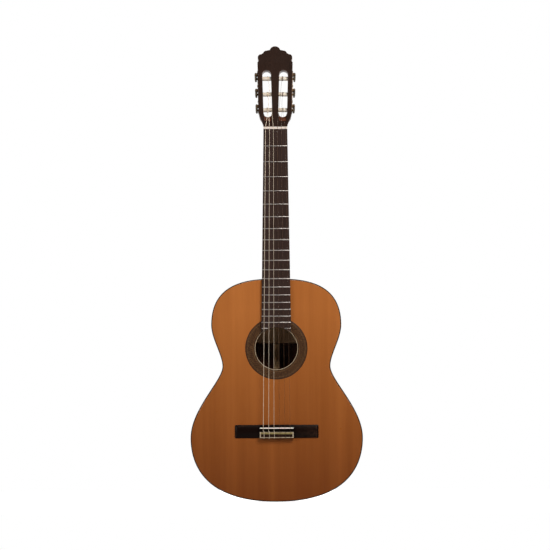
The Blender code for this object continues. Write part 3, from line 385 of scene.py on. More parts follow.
def newMaterial(name, **surfaceValues):
    made = bpy.data.materials.new(name)
    made.use_nodes = True
    tree = made.node_tree
    surface = tree.nodes["Principled BSDF"]
    for key, value in surfaceValues.items():
        surface.inputs[key.replace("_", " ")].default_value = value
    return made, tree, surface


def dress(tree, surface, colour, roughness, height=None, depth=0.0):
    # height is a value from 0 to 1 and depth is how many metres it stands for
    tree.links.new(colour, surface.inputs["Base Color"])
    tree.links.new(roughness, surface.inputs["Roughness"])
    if height:
        bump = addNode(tree, "ShaderNodeBump", {"Height": height, "Distance": depth, "Strength": 1.0})
        tree.links.new(bump.outputs[0], surface.inputs["Normal"])


def grainVector(tree, along):
    # fibres run along Z in the grain group, so other directions are turned to it
    if along == "strip":
        return addNode(tree, "ShaderNodeAttribute", attribute_name="strip").outputs["Vector"]
    vector = addNode(tree, "ShaderNodeTexCoord").outputs["Object"]
    if along == "z":
        return vector
    split = addNode(tree, "ShaderNodeSeparateXYZ", {0: vector}).outputs
    order = {"x": (1, 2, 0), "y": (0, 2, 1)}[along]
    return addNode(tree, "ShaderNodeCombineXYZ", {i: split[order[i]] for i in range(3)}).outputs[0]


def woodMaterial(name, wood):
    made, tree, surface = newMaterial(name, Specular_IOR_Level=wood.get("gloss", 0.2))
    vector = grainVector(tree, wood.get("along", "z"))
    grain = useGroup(tree, grainGroup, {
        "Vector": vector, "Line Spacing": wood["spacing"] * mm, "Stretch": wood["stretch"],
        "Waviness": wood["waviness"], "Bands": wood["bands"], "Lines": wood["lines"],
        "Fibres": wood["fibres"], "Pores": wood["pores"], "Light": paint(*wood["light"]),
        "Dark": paint(*wood["dark"]), "Pore Colour": paint(*wood["pore"])})
    worn = useGroup(tree, wearGroup, {
        "Color": grain["Color"], "Worn Color": paint(*wood["worn"]), "Amount": wood["wear"], "Vector": vector})
    finish = useGroup(tree, lacquerGroup, {
        "Vector": vector, "Roughness": wood["roughness"], "Smudges": wood["smudges"], "Ripple": wood["ripple"]})
    colour = worn["Color"]
    if "paintedTailShade" in wood:
        # painted shade: the top's colour is darkened towards the tail, with a few broad soft streaks in it
        split = addNode(tree, "ShaderNodeSeparateXYZ", {0: vector}).outputs
        share = between(tree, split[2], wood["paintedShadeUpTo"], 0.0)
        streak = calc(tree, "SUBTRACT", noise(tree, stretched(tree, vector, 26.0, 26.0, 1.2), 1.0, 2.0), 0.5)
        share = calc(tree, "MULTIPLY_ADD", streak, 0.5, share, clamp=True)
        shadedColour = mixColour(tree, 1.0, colour, paint(*wood["paintedTailShade"]), "MULTIPLY")
        colour = mixColour(tree, share, colour, shadedColour)
    height = calc(tree, "MULTIPLY_ADD", grain["Height"], wood["relief"], finish["Height"])
    dress(tree, surface, colour, finish["Roughness"], height, 0.06 * mm)
    surface.inputs["Coat Weight"].default_value = wood.get("coat", 0.0)
    surface.inputs["Coat Roughness"].default_value = 0.08
    return made


bodyShape = {
    "waistAt": 295 * mm, "lowerAt": 139 * mm, "upperAt": 385 * mm,
    "waistHalf": 117.2 * mm, "upperHalf": 141.4 * mm,
    "tailFullness": 162 * mm, "lowerFullness": (53.2 * mm, 63.3 * mm), "waistFullness": (30.9 * mm, 24.6 * mm),
    "upperFullness": (30.3 * mm, 97 * mm), "shoulderFullness": 52.9 * mm,
    "spans": (40, 28, 20, 34),
    "tailDepth": 96 * mm, "neckDepth": 91 * mm, "arch": 4 * mm,
    "topThickness": 2.5 * mm, "backThickness": 2.5 * mm, "binding": 2 * mm, "fit": 0.1 * mm,
    "stripHalf": 7 * mm, "stripThick": 1.6 * mm,
    "holeRadius": 45 * mm, "rosetteInner": 46 * mm, "rosetteOuter": 67.6 * mm, "rosetteThickness": 0.8 * mm,
}


def bodyPoint(x, z, depth):
    return Vector((x, faceY + depth, z))


def halfOutline(inset=0.0):
    size = bodyShape
    stops = (Vector((0, 0)), Vector((lowerHalf, size["lowerAt"])), Vector((size["waistHalf"], size["waistAt"])),
             Vector((size["upperHalf"], size["upperAt"])), Vector((0, bodyLength)))
    out, up = Vector((1, 0)), Vector((0, 1))
    leave = (out * size["tailFullness"], up * size["lowerFullness"][1], up * size["waistFullness"][1],
             up * size["upperFullness"][1])
    arrive = (-up * size["lowerFullness"][0], -up * size["waistFullness"][0], -up * size["upperFullness"][0],
              out * size["shoulderFullness"])
    points = []
    for i, spans in enumerate(size["spans"]):
        a, d = stops[i], stops[i + 1]
        b, c = a + leave[i], d + arrive[i]
        for step in range(spans + (i == 3)):
            t = step / spans
            r = 1 - t
            place = a * r**3 + b * 3 * r * r * t + c * 3 * r * t * t + d * t**3
            slope = ((b - a) * r * r + (c - b) * 2 * r * t + (d - c) * t * t).normalized()
            points.append((place.x - slope.y * inset, place.y + slope.x * inset))
    return points


def outline(inset=0.0):
    treble = halfOutline(inset)
    return treble + [(-x, z) for x, z in treble[-2:0:-1]]


def backDepth(x, z):
    flat = bodyShape["tailDepth"] + (bodyShape["neckDepth"] - bodyShape["tailDepth"]) * z / bodyLength
    return flat + bodyShape["arch"] * (1 - (x / lowerHalf) ** 2)


def holeRing(radius, spans=128):
    return circle(radius, spans, clockwise=True, centre=(0, holeZ))


def makeSoundboard(finish, ringFinish, lipFinish):
    size = bodyShape
    fit = size["fit"]
    floor = size["rosetteThickness"] + fit
    hole = size["holeRadius"]
    thick = size["topThickness"]
    edge = easedRows(outline(size["binding"] + fit), 0, thick, 0.15 * mm)
    inner, outer = size["rosetteInner"] - fit, size["rosetteOuter"] + fit
    rim = [(holeRing(outer + 1.2 * mm), 0, 0.0), (holeRing(outer), 0, 0.4), (holeRing(outer), floor, 0.0),
           (holeRing(inner + fit), floor, 0.0), (holeRing(inner + fit), thick, 0.0)]
    shape = bmesh.new()
    plate(shape, [edge, rim], bodyPoint)
    fixedPiece("soundboard_plate", shape, finish, "cedar_top", ["soundboard"])
    lip = bmesh.new()
    ring = [(inner, 0.1 * mm, 0.6), (inner - 0.1 * mm, 0, 1), (hole + 0.35 * mm, 0, 1),
            (hole + 0.1 * mm, 0.1 * mm, 1), (hole, 0.4 * mm, 0.6), (hole, thick - 0.2 * mm, 0),
            (hole + 0.2 * mm, thick, 0), (inner, thick, 0)]
    rows = [addRow(lip, [bodyPoint(x, z, depth) for x, z in holeRing(radius)], worn)
            for radius, depth, worn in ring]
    joinRows(lip, rows, loop=True)
    fixedPiece("soundhole_lip", lip, lipFinish, "rosette")
    band = bmesh.new()
    ring = [(outer - 2 * fit, 0.05 * mm), (outer - 3 * fit, 0.0), (inner + 3 * fit, 0.0),
            (inner + 2 * fit, 0.05 * mm), (inner + 2 * fit, size["rosetteThickness"]),
            (outer - 2 * fit, size["rosetteThickness"])]
    rows = [addRow(band, [bodyPoint(x, z, depth) for x, z in holeRing(radius, 192)]) for radius, depth in ring]
    joinRows(band, rows, loop=True)
    fixedPiece("rosette_ring", band, ringFinish, "rosette", ["rosette"])


def makeBindings(finish, lineFinish):
    size = bodyShape
    ease = 0.35 * mm
    thick = size["topThickness"]
    width = size["binding"]
    # a thin line is let in where each binding meets its plate
    for name, node, front in (("top_edge_binding", "top_binding", True),
                              ("back_edge_binding", "back_binding", False)):
        woodEnd = width - 0.6 * mm
        across = ((0, thick), (0, ease), (ease * 0.3, ease * 0.3), (ease, 0), (woodEnd, 0), (woodEnd, thick))

        def ringAt(inset, depth):
            return [bodyPoint(x, z, depth if front else backDepth(x, z) - depth) for x, z in outline(inset)]

        shape = bmesh.new()
        line = bmesh.new()
        rows = [addRow(shape, ringAt(inset, depth), 1.0 if 0 < inset <= ease or 0 < depth <= ease else 0.0)
                for inset, depth in across]
        lineStart = width - 0.58 * mm
        lines = [addRow(line, ringAt(inset, depth))
                 for inset, depth in ((lineStart, 0), (width, 0), (width, thick), (lineStart, thick))]
        joinRows(shape, rows, loop=True)
        joinRows(line, lines, loop=True)
        fixedPiece(name, shape, finish, "dark_binding", [node])
        word = "purfling_line_top" if front else "purfling_line_back"
        fixedPiece(word, line, lineFinish, "dark_binding")


def ringGrid(shape, ring, centre, shares, depthAt):
    # a domed plate drawn in rings that shrink towards its centre
    rows = []
    for share in shares:
        points = [(x * share, centre + (z - centre) * share) for x, z in ring]
        rows.append(addRow(shape, [bodyPoint(x, z, depthAt(x, z)) for x, z in points]))
    return rows


def makeBack(finish, stripFinish):
    size = bodyShape
    ring = outline(size["binding"] + size["fit"])
    centre = size["waistAt"]
    shares = [0.04, 0.1, 0.2, 0.3, 0.4, 0.5, 0.6, 0.7, 0.8, 0.88, 0.95, 0.992, 1.0]
    shape = bmesh.new()
    inner = ringGrid(shape, ring, centre, shares, lambda x, z: backDepth(x, z) - size["backThickness"])
    outside = ringGrid(shape, ring, centre, shares, backDepth)
    rows = inner + outside[::-1]
    joinRows(shape, rows)
    capEnds(shape, rows)
    fixedPiece("back_plate", shape, finish, "rosewood_body", ["back"])
    half, thick = size["stripHalf"], size["stripThick"]
    strip = bmesh.new()
    for low, high in stripStretches():
        rows = []
        for step in range(9):
            z = low + (high - low) * step / 8
            face = backDepth(0, z) - size["backThickness"] - 0.05 * mm
            rows.append([bodyPoint(x, z, face - lift)
                         for x, lift in ((-half, 0), (half, 0), (half - 1 * mm, thick), (1 * mm - half, thick))])
        skin(strip, rows)
    fixedPiece("back_seam_strip", strip, stripFinish, "brace_spruce", sharp=20)


def stripStretches():
    # the seam's strip runs between the blocks and is cut through at each brace
    gap = 0.4 * mm
    braces = sorted((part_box(node) for node in ("back_brace_lower", "back_brace_middle", "back_brace_upper")),
                    key=lambda ends: ends[0].z)
    places = [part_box("tail_block")[1].z] + [value for low, high in braces for value in (low.z, high.z)]
    places.append(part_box("neck_block")[0].z)
    return [(low + gap, high - gap) for low, high in zip(places[::2], places[1::2])]


def makeNeckBlock(finish):
    # the block's foot runs down the back as far as the soundhole and ends in a bevel
    low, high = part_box("neck_block")
    block = {"half": 35 * mm, "length": 22 * mm, "foot": 11 * mm, "bevel": 1.8 * mm, "under": 1.2 * mm}
    front = bodyShape["topThickness"] + 0.3 * mm
    face = high.z - block["length"]

    def back(x, z):
        return backDepth(x, z) - bodyShape["backThickness"] - block["under"]

    foot = bmesh.new()
    rows = []
    for step in range(9):
        x = low.x + (high.x - low.x) * step / 8
        ends = 0.5 * mm if step in (0, 8) else 0.0
        rows.append([bodyPoint(x, low.z, back(x, low.z)), bodyPoint(x, face + 8 * mm, back(x, face)),
                     bodyPoint(x, face + 8 * mm, back(x, face) - block["foot"] + ends),
                     bodyPoint(x, low.z + block["bevel"], back(x, low.z) - block["foot"] + ends),
                     bodyPoint(x, low.z + 0.3 * mm, back(x, low.z) - block["foot"] + block["bevel"] * 0.75),
                     bodyPoint(x, low.z, back(x, low.z) - block["foot"] + block["bevel"] * 1.2)])
    skin(foot, rows)
    trunk = bmesh.new()
    top = high.z - 0.9 * mm
    ring = roundCorners([Vector((a, b, 0)) for a, b in (
        (0, top), (-block["half"], top), (-block["half"], face), (block["half"], face), (block["half"], top),
        (0, top))], 1.2 * mm, 4)
    skin(trunk, [[bodyPoint(p.x, p.y, depth) for p in ring[:-1]] for depth in (front, back(0, face) - 0.4 * mm)])
    made = carve(newMesh("neck_block_foot", foot), [newMesh("trunk", trunk)], "UNION")
    piece("neck_block_wood", made, finish, "root", "block_wood", ["neck_block"])


def makeSides(finish):
    size = bodyShape
    fit = size["fit"]
    for name, node, side in (("side_left", "side_bass", -1), ("side_right", "side_treble", 1)):
        shape = bmesh.new()
        layer = shape.verts.layers.float_vector.new("strip")
        rows = []
        done = 0.0
        outer, inner = halfOutline(), halfOutline(2 * mm)
        for i, ((x0, z0), (x1, z1)) in enumerate(zip(outer, inner)):
            if i:
                done += math.dist(outer[i - 1], (x0, z0))
            x0, x1 = max(x0, fit / 2), max(x1, fit / 2)
            front = size["topThickness"] + fit
            backs = [backDepth(x, z) - size["backThickness"] - fit for x, z in ((x0, z0), (x1, z1))]
            row = addRow(shape, [
                bodyPoint(side * x0, z0, front), bodyPoint(side * x1, z1, front),
                bodyPoint(side * x1, z1, (front + backs[1]) / 2), bodyPoint(side * x1, z1, backs[1]),
                bodyPoint(side * x0, z0, backs[0]), bodyPoint(side * x0, z0, (front + backs[0]) / 2)])
            for vert in row:
                vert[layer] = (vert.co.y, side * 0.2, done)
            rows.append(row)
        joinRows(shape, rows)
        capEnds(shape, rows)
        fixedPiece(name, shape, finish, "rosewood_body", [node])


headShape = {
    "tilt": math.radians(12), "thickness": 22 * mm, "veneer": 2 * mm, "fit": 0.3 * mm,
    "flare": ((6 * mm, 27.6 * mm), (12 * mm, 30 * mm), (20 * mm, 33.4 * mm)),
    "low": (30 * mm, 35.5 * mm), "high": (143 * mm, 38.4 * mm), "notch": (147.5 * mm, 35.3 * mm),
    "lobes": ((31.3, 153.6, 6.3, 7.6, -20, 100), (19, 161.2, 7.3, 8, 20, 90), (0, 169.2, 11.3, 9.7, 10, 90)),
    "slotRadius": 9.4 * mm, "slotLow": (31.5 * mm, 16.2 * mm), "slotHigh": (116.4 * mm, 18.4 * mm),
    "rampStart": 8 * mm, "rampDepth": 6 * mm, "rampHalf": 7.6 * mm,
    "rollerFirst": 38.3 * mm, "rollerSpacing": 35 * mm, "rollerDepth": 11 * mm, "rollerInner": 33.3 * mm,
    "bore": 5.2 * mm,
}
neckShape = {
    "joinHalf": 30.7 * mm, "depthAtNut": 16.2 * mm, "depthAtHeel": 18.5 * mm, "roundness": 0.85,
    "heelTopHalf": 28 * mm, "heelCapHalf": 12 * mm, "heelTopReach": 46 * mm, "heelCapReach": 22 * mm,
    "heelCap": 3 * mm, "heelStart": 3 * mm,
}
woodTop = headShape["veneer"] + headShape["fit"]
sideSlope = math.atan2(headShape["high"][1] - headShape["low"][1], headShape["high"][0] - headShape["low"][0])


def headPoint(across, up, back):
    tilt = headShape["tilt"]
    behind = Vector((0, math.cos(tilt), -math.sin(tilt)))
    along = Vector((0, math.sin(tilt), math.cos(tilt)))
    return Vector((across, faceY, nutTopZ)) + along * up + behind * (back - woodTop)


def sidePoint(side):
    centre = headShape["rollerFirst"] + headShape["rollerSpacing"]
    half = headShape["low"][1] + (centre - headShape["low"][0]) * math.tan(sideSlope)

    def point(out, up, back):
        across = half + out * math.cos(sideSlope) + up * math.sin(sideSlope)
        return headPoint(side * across, centre - out * math.sin(sideSlope) + up * math.cos(sideSlope), back)

    return point


def boardHalf(z):
    return nutHalf + (neckShape["joinHalf"] - nutHalf) * (nutZ - z) / (nutZ - bodyLength)


def smoothStops(stops, at):
    # a smooth curve through (place, value) stops, without overshoot
    for i, ((a, low), (b, high)) in enumerate(zip(stops, stops[1:])):
        if at <= b:
            t = max(0.0, (at - a) / (b - a))
            slopes = []
            for j in (i, i + 1):
                first, last = stops[max(j - 1, 0)], stops[min(j + 1, len(stops) - 1)]
                slopes.append((last[1] - first[1]) / (last[0] - first[0]))
            h = b - a
            return (low * (2 * t**3 - 3 * t * t + 1) + slopes[0] * h * (t**3 - 2 * t * t + t)
                    + high * (3 * t * t - 2 * t**3) + slopes[1] * h * (t**3 - t * t))
    return stops[-1][1]


def headHalf(up):
    size = headShape
    return smoothStops([(-20 * mm, nutHalf - 1 * mm), (0, nutHalf), *size["flare"], size["low"],
                        (60 * mm, size["low"][1] + 0.8 * mm)], up)


def headOutline(start):
    size = headShape
    half = []
    up = start
    while up < size["low"][0] - 0.5 * mm:
        half.append((headHalf(up), up))
        up += 1.5 * mm
    for step in range(20):
        share = step / 20
        half.append((size["low"][1] + (size["high"][1] - size["low"][1]) * share,
                     size["low"][0] + (size["high"][0] - size["low"][0]) * share))
    half += [(size["high"][1], size["high"][0]), (size["notch"][1], size["notch"][0])]
    for across, up, width, height, first, last in size["lobes"]:
        for step in range(15):
            turn = math.radians(first + (last - first) * step / 14)
            half.append(((across + width * math.cos(turn)) * mm, (up + height * math.sin(turn)) * mm))
    half[-1] = (0.0, half[-1][1])
    return half + [(-across, up) for across, up in reversed(half) if across > 1e-9]


def slotRing(side, spans=14):
    size = headShape
    ring = []
    for (up, across), first in ((size["slotHigh"], 0), (size["slotLow"], 180)):
        for step in range(spans + 1):
            turn = math.radians(first + 180 * step / spans)
            ring.append((side * across + size["slotRadius"] * math.cos(turn),
                         up + size["slotRadius"] * math.sin(turn)))
    return ring[::-1]


def addRamp(shape, side):
    # a trough that slopes from the face into the slot's lower end, rounded underneath
    size = headShape
    bottom = size["slotLow"][0] - size["slotRadius"]
    slope = size["rampDepth"] / (bottom - size["rampStart"])
    rows = []
    for up in (size["rampStart"] - 1 * mm, size["slotLow"][0]):
        deep = (up - size["rampStart"]) * slope
        row = []
        for across, share in ((-1, -9), (-1, -0.35), (-0.92, -0.12), (-0.75, 0), (0.75, 0), (0.92, -0.12),
                              (1, -0.35), (1, -9)):
            back = deep + share * 1.6 * mm if share > -9 else -6 * mm
            row.append(headPoint(side * size["slotLow"][1] + across * size["rampHalf"], up, back))
        rows.append(row)
    skin(shape, rows)


def headSlab(name, start, front, back, ease):
    shape = bmesh.new()
    walls = [easedRows(headOutline(start), front, back, ease)]
    walls += [easedRows(slotRing(side), front, back, 0.35 * mm) for side in (-1, 1)]
    plate(shape, walls, headPoint)
    return newMesh(name, shape)


def neckSection(half, deep, squareness, spans=24):
    corners = []
    soft = 0.97
    for i in range(spans + 1):
        turn = math.pi * i / spans
        roundAcross, roundBack = math.cos(turn), max(math.sin(turn), 0.0) ** neckShape["roundness"]
        most = max(abs(roundAcross), math.sin(turn))
        boxAcross, boxBack = roundAcross / most, max(math.sin(turn), 0.0) / most
        boxAcross = max(-1, min(1, boxAcross * soft + roundAcross * (1 - soft)))
        boxBack = boxBack * soft + roundBack * (1 - soft)
        corners.append((half * (roundAcross + (boxAcross - roundAcross) * squareness),
                        deep * (roundBack + (boxBack - roundBack) * squareness)))
    edge = 0.25 * mm
    return [(half - edge, 0.0), (half, edge)] + corners[1:-1] + [(-half, edge), (-half + edge, 0.0)]


def makeNeck(finish, capFinish, veneerFinish):
    size, neck = headShape, neckShape
    start = bodyLength + 0.3 * mm
    wood = size["thickness"] - woodTop
    squareFrom = 18 * mm
    sections = []
    for step in range(25):
        share = step / 24
        z = start + (nutTopZ - start) * share
        deep = neck["depthAtHeel"] + (neck["depthAtNut"] - neck["depthAtHeel"]) * share
        half = boardHalf(min(z, nutZ))
        sections.append([Vector((x, faceY + back, z)) for x, back in neckSection(half, deep, 0)])
    for step in range(1, 13):
        up = (squareFrom + 1 * mm) * step / 12
        t = step / 12
        square = t * t * (3 - 2 * t)
        deep = neck["depthAtNut"] + (wood - neck["depthAtNut"]) * min(up / squareFrom, 1)
        inset = 0.3 * mm if step == 12 else 0.0
        sections.append([headPoint(x, up, woodTop + inset + back)
                         for x, back in neckSection(headHalf(up) - inset, deep - 2 * inset, square)])
    shaft = bmesh.new()
    skin(shaft, sections)
    slab = headSlab("head_slab", squareFrom, woodTop, size["thickness"], 1.6 * mm)
    bottom = backDepth(0, bodyLength) - neck["heelCap"] - 0.1 * mm
    heelRows = []
    for step in range(15):
        share = step / 14
        heelRows.append(heelSection(share, neck["heelStart"] + (bottom - neck["heelStart"]) * share))
    heel = bmesh.new()
    skin(heel, heelRows)
    cutter = bmesh.new()
    for side in (-1, 1):
        addRamp(cutter, side)
        point = sidePoint(side)
        for up in (-size["rollerSpacing"], 0, size["rollerSpacing"]):
            ring = circle(size["bore"], 32, start=0.05)
            skin(cutter, [[point(out, up + a, size["rollerDepth"] + b) for a, b in ring]
                         for out in (-size["rollerInner"] - size["fit"], size["bore"])])
    body = carve(newMesh("neck_shaft", shaft), [slab, newMesh("heel", heel)], "UNION")
    body = carve(body, [newMesh("neck_cutter", cutter)], "DIFFERENCE", 30)
    piece("neck_and_head", body, finish, "root", "neck_wood", ["neck"])
    cap = bmesh.new()
    low, high = bottom + 0.1 * mm, backDepth(0, bodyLength)
    skin(cap, [heelSection(1, low), heelSection(1, high - 0.5 * mm), heelSection(1, high - 0.15 * mm, 0.15 * mm),
               heelSection(1, high, 0.6 * mm)], [0, 0.5, 1, 1])
    fixedPiece("heel_cap_plate", cap, capFinish, "heel_cap", ["heel_cap"])
    veneer = headSlab("veneer", 0.3 * mm, 0, size["veneer"], 0.35 * mm)
    ramps = bmesh.new()
    addRamp(ramps, -1)
    addRamp(ramps, 1)
    veneer = carve(veneer, [newMesh("ramps", ramps)])
    piece("head_face", veneer, veneerFinish, "root", "head_veneer", ["head_veneer"])


def heelSection(share, depth, inset=0.0):
    neck = neckShape
    half = neck["heelCapHalf"] + (neck["heelTopHalf"] - neck["heelCapHalf"]) * (1 - share) ** 1.6 - inset
    reach = neck["heelCapReach"] + (neck["heelTopReach"] - neck["heelCapReach"]) * (1 - share) ** 2.5 - inset
    start = bodyLength + 0.3 * mm
    turns = [math.pi * i / 32 for i in range(33)]
    # a little fuller than half an ellipse
    fullness = 0.92
    return [bodyPoint(half * math.cos(turn), start + reach * max(math.sin(turn), 0.0) ** fullness, depth)
            for turn in turns]


boardShape = {"frets": 19, "thick": 5.5 * mm, "gap": 0.3 * mm, "pastLast": 6 * mm, "hollow": 46.2 * mm,
              "fretWidth": 1.9 * mm, "fretHeight": 0.95 * mm, "fretShort": 0.35 * mm, "ease": 0.5 * mm}
boardTop = boardShape["gap"] + boardShape["thick"]


def fretZ(number):
    return nutZ - scaleLength * (1 - 2 ** (-number / 12))


def hollowAt(x):
    # height of the board's hollowed end at a place across
    radius = boardShape["hollow"]
    return holeZ + math.sqrt(max(radius * radius - x * x, 0.0))


def makeFingerboard(finish, fretFinish):
    size = boardShape
    end = fretZ(size["frets"]) - size["pastLast"]
    top = nutZ - 0.2 * mm
    edge = math.sqrt(size["hollow"] ** 2 - (end - holeZ) ** 2)
    ring = [(boardHalf(end), end), (boardHalf(top), top), (-boardHalf(top), top), (-boardHalf(end), end)]
    ring += [(x, hollowAt(x)) for x in [-edge + 2 * edge * i / 40 for i in range(41)]]
    shape = bmesh.new()
    plate(shape, [easedRows(ring, -boardTop, -size["gap"], size["ease"], rim=0.2 * mm)], bodyPoint)
    fixedPiece("fingerboard_wood", shape, finish, "fingerboard", ["fingerboard"])
    wires = bmesh.new()
    for number in range(1, size["frets"] + 1):
        z = fretZ(number)
        half = boardHalf(z) - size["fretShort"]
        spans = [(-half, half)]
        if number == size["frets"]:
            inner = math.sqrt(max(size["hollow"] ** 2 - (z - size["fretWidth"] / 2 - holeZ) ** 2, 0.0)) + 0.2 * mm
            spans = [(-half, -inner), (inner, half)]
        for low, high in spans:
            bevel = 0.9 * mm
            rows = []
            for x, lift in ((low, 0.25), (low + bevel * 0.4, 0.75), (low + bevel, 1), (high - bevel, 1),
                            (high - bevel * 0.4, 0.75), (high, 0.25)):
                row = [bodyPoint(x, z + size["fretWidth"] / 2, -boardTop + 0.3 * mm)]
                for step in range(9):
                    turn = math.pi * step / 8
                    row.append(bodyPoint(x, z + size["fretWidth"] / 2 * math.cos(turn),
                                         -boardTop - size["fretHeight"] * lift * math.sin(turn)))
                row.append(bodyPoint(x, z - size["fretWidth"] / 2, -boardTop + 0.3 * mm))
                rows.append(row)
            skin(wires, rows)
    fixedPiece("fret_wires", wires, fretFinish, "fingerboard", sharp=50)


stringSet = {
    "diameters": (1.09 * mm, 0.89 * mm, 0.74 * mm, 1.02 * mm, 0.82 * mm, 0.71 * mm),  # bass to treble
    "atNut": 8.6 * mm, "atSaddle": 11.65 * mm, "nutHeight": 7.3 * mm, "saddleHeight": 12.2 * mm,
    "slimmer": 0.015 * mm, "stagger": 1.5 * mm, "turns": 2.6, "pitch": 0.12 * mm, "wrapStart": -15,
}


def stringX(number, spacing):
    return (number - 2.5) * spacing


def makeNut(finish):
    length, high = nutTopZ - nutZ, stringSet["nutHeight"] - 0.3 * mm + 0.55 * mm
    crest = ((0, 0.9), (0.03, 0.55), (0.1, 0.3), (0.2, 0.22), (0.35, 0.3), (0.5, 0.75), (0.63, 1.25), (0.8, 1.9),
             (0.95, 2.6), (1, 3.1))
    count = int(2 * nutHalf / (0.12 * mm))
    rows = []
    for i in range(count + 1):
        x = -nutHalf + 2 * nutHalf * i / count
        corner = max(0.0, abs(x) - (nutHalf - 0.6 * mm)) / (0.6 * mm)
        drop = 0.5 * mm * (1 - math.sqrt(max(0.0, 1 - corner * corner)))
        groove = 0.0
        for number, diameter in enumerate(stringSet["diameters"]):
            away = abs(x - stringX(number, stringSet["atNut"]))
            groove = max(groove, min(1.0, (diameter * 0.62 - away) / (0.1 * mm)))
        row = [bodyPoint(x, nutZ, -0.2 * mm)]
        for share, down in crest:
            height = high - max(down * mm + drop, (0.6 * mm + down * mm * 0.9) * groove)
            row.append(bodyPoint(x, nutZ + length * share, -height))
        row.append(bodyPoint(x, nutTopZ, -0.2 * mm))
        rows.append(row)
    shape = bmesh.new()
    skin(shape, rows)
    fixedPiece("nut_bone", shape, finish, "bone", ["nut"])


bridgeShape = {
    "half": 90.8 * mm, "centreHalf": 37.4 * mm, "below": 21.7 * mm, "above": 7.5 * mm, "gap": 0.2 * mm,
    "tieLength": 13.8 * mm, "tieHeight": 9 * mm, "valley": 3.6 * mm, "valleyHeight": 4.4 * mm,
    "saddleBlock": 8.4 * mm, "saddleFront": 5.4 * mm, "saddleThick": 2.5 * mm, "slotFloor": 4.6 * mm,
    "holeRadius": 0.95 * mm, "holeHeight": 5.9 * mm, "inlay": 1 * mm, "wingEdge": 1.6 * mm, "wingArch": 2.6 * mm,
    "wingRunout": 6 * mm, "wingCorner": 2.2 * mm, "setback": 0.3 * mm,
}


def roundProfile(points, ease, steps=3):
    # bends the corners of a profile, except its two ends
    line = [Vector((a, b, 0)) for a, b in points]
    return [(point.x, point.y) for point in roundCorners(line, ease, steps)]


def makeBridge(finish):
    size = bridgeShape
    tail, front = saddleZ - size["below"], saddleZ + size["above"]
    tieEnd = tail + size["tieLength"]
    valleyEnd = tieEnd + size["valley"]
    slot = size["saddleThick"] / 2 + 0.05 * mm
    profile = roundProfile((
        (tail, size["gap"]), (tail, size["tieHeight"]), (tieEnd, size["tieHeight"]), (tieEnd, size["valleyHeight"]),
        (valleyEnd, size["valleyHeight"]), (valleyEnd, size["saddleBlock"]), (saddleZ - slot, size["saddleBlock"]),
        (saddleZ - slot, size["slotFloor"]), (saddleZ + slot, size["slotFloor"]),
        (saddleZ + slot, size["saddleBlock"]), (front - size["above"] * 0.55, size["saddleBlock"]),
        (front, size["saddleFront"]), (front, size["gap"])), 0.55 * mm)
    half = size["centreHalf"]
    rows = []
    for x, inset in ((-half, 0.45), (-half + 0.15 * mm, 0.15), (-half + 0.5 * mm, 0), (half - 0.5 * mm, 0),
                     (half - 0.15 * mm, 0.15), (half, 0.45)):
        row = []
        for z, height in profile:
            if abs(z - tail) < 0.01 * mm:
                z += inset * mm
            elif abs(z - front) < 0.01 * mm:
                z -= inset * mm
            row.append(bodyPoint(x, z, -(height - (inset * mm if height > size["slotFloor"] else 0))))
        rows.append(row)
    centreShape = bmesh.new()
    skin(centreShape, rows, [1, 0.6, 0, 0, 0.6, 1])
    wings = bmesh.new()
    low, high = tail + size["setback"], front - size["setback"]
    stops = [(size["half"] - size["wingRunout"] * step / 8, math.sin(math.pi / 2 * step / 8))
             for step in range(9)]
    bend = size["wingCorner"]
    rows = []
    for x, share in [(-x, share) for x, share in stops] + stops[::-1]:
        corner = bend * (1 - min(1.0, (size["half"] - abs(x)) / bend))
        pull = bend - math.sqrt(max(0.0, bend ** 2 - corner * corner))
        a, b = low + pull, high - pull
        row = [bodyPoint(x, a, -size["gap"]), bodyPoint(x, a, -size["wingEdge"] * 0.7)]
        for step in range(17):
            across = step / 16
            lift = size["wingArch"] * share * math.sin(math.pi * across) ** 0.8
            ends = 0.35 * mm if step in (0, 16) else 0.0
            row.append(bodyPoint(x, a + (b - a) * (0.015 + 0.97 * across), -(size["wingEdge"] + lift - ends)))
        row += [bodyPoint(x, b, -size["wingEdge"] * 0.7), bodyPoint(x, b, -size["gap"])]
        rows.append(row)
    skin(wings, rows)
    holes = []
    for number in range(6):
        x = stringX(number, stringSet["atSaddle"])
        hole = bmesh.new()
        skin(hole, [[bodyPoint(x + a, z, b - size["holeHeight"]) for a, b in circle(size["holeRadius"], 20)]
                    for z in (tail - 2 * mm, tieEnd + size["valley"] / 2)])
        holes.append(newMesh("hole", hole))
    made = carve(newMesh("bridge_centre", centreShape), [newMesh("bridge_wings", wings)], "UNION")
    made = carve(made, holes, "DIFFERENCE", 30)
    piece("bridge_wood", made, finish, "root", "bridge_wood", ["bridge"])


def makeSaddle(finish):
    size = bridgeShape
    bottom, top = size["slotFloor"] + 0.05 * mm, stringSet["saddleHeight"] - 0.05 * mm
    half = size["saddleThick"] / 2
    reach = size["centreHalf"] - 0.8 * mm
    rows = []
    for step in range(33):
        x = -reach + 2 * reach * step / 32
        corner = max(0.0, abs(x) - (reach - 2 * mm)) / (2 * mm)
        drop = 1.4 * mm * (1 - math.sqrt(max(0.0, 1 - corner * corner)))
        row = [bodyPoint(x, saddleZ - half, -bottom)]
        for turn in [math.pi * i / 10 for i in range(11)]:
            height = top - drop - half * 0.9 * (1 - math.sin(turn))
            row.append(bodyPoint(x, saddleZ - half * math.cos(turn), -height))
        row.append(bodyPoint(x, saddleZ + half, -bottom))
        rows.append(row)
    shape = bmesh.new()
    skin(shape, rows)
    fixedPiece("saddle_bone", shape, finish, "bone", ["saddle"])


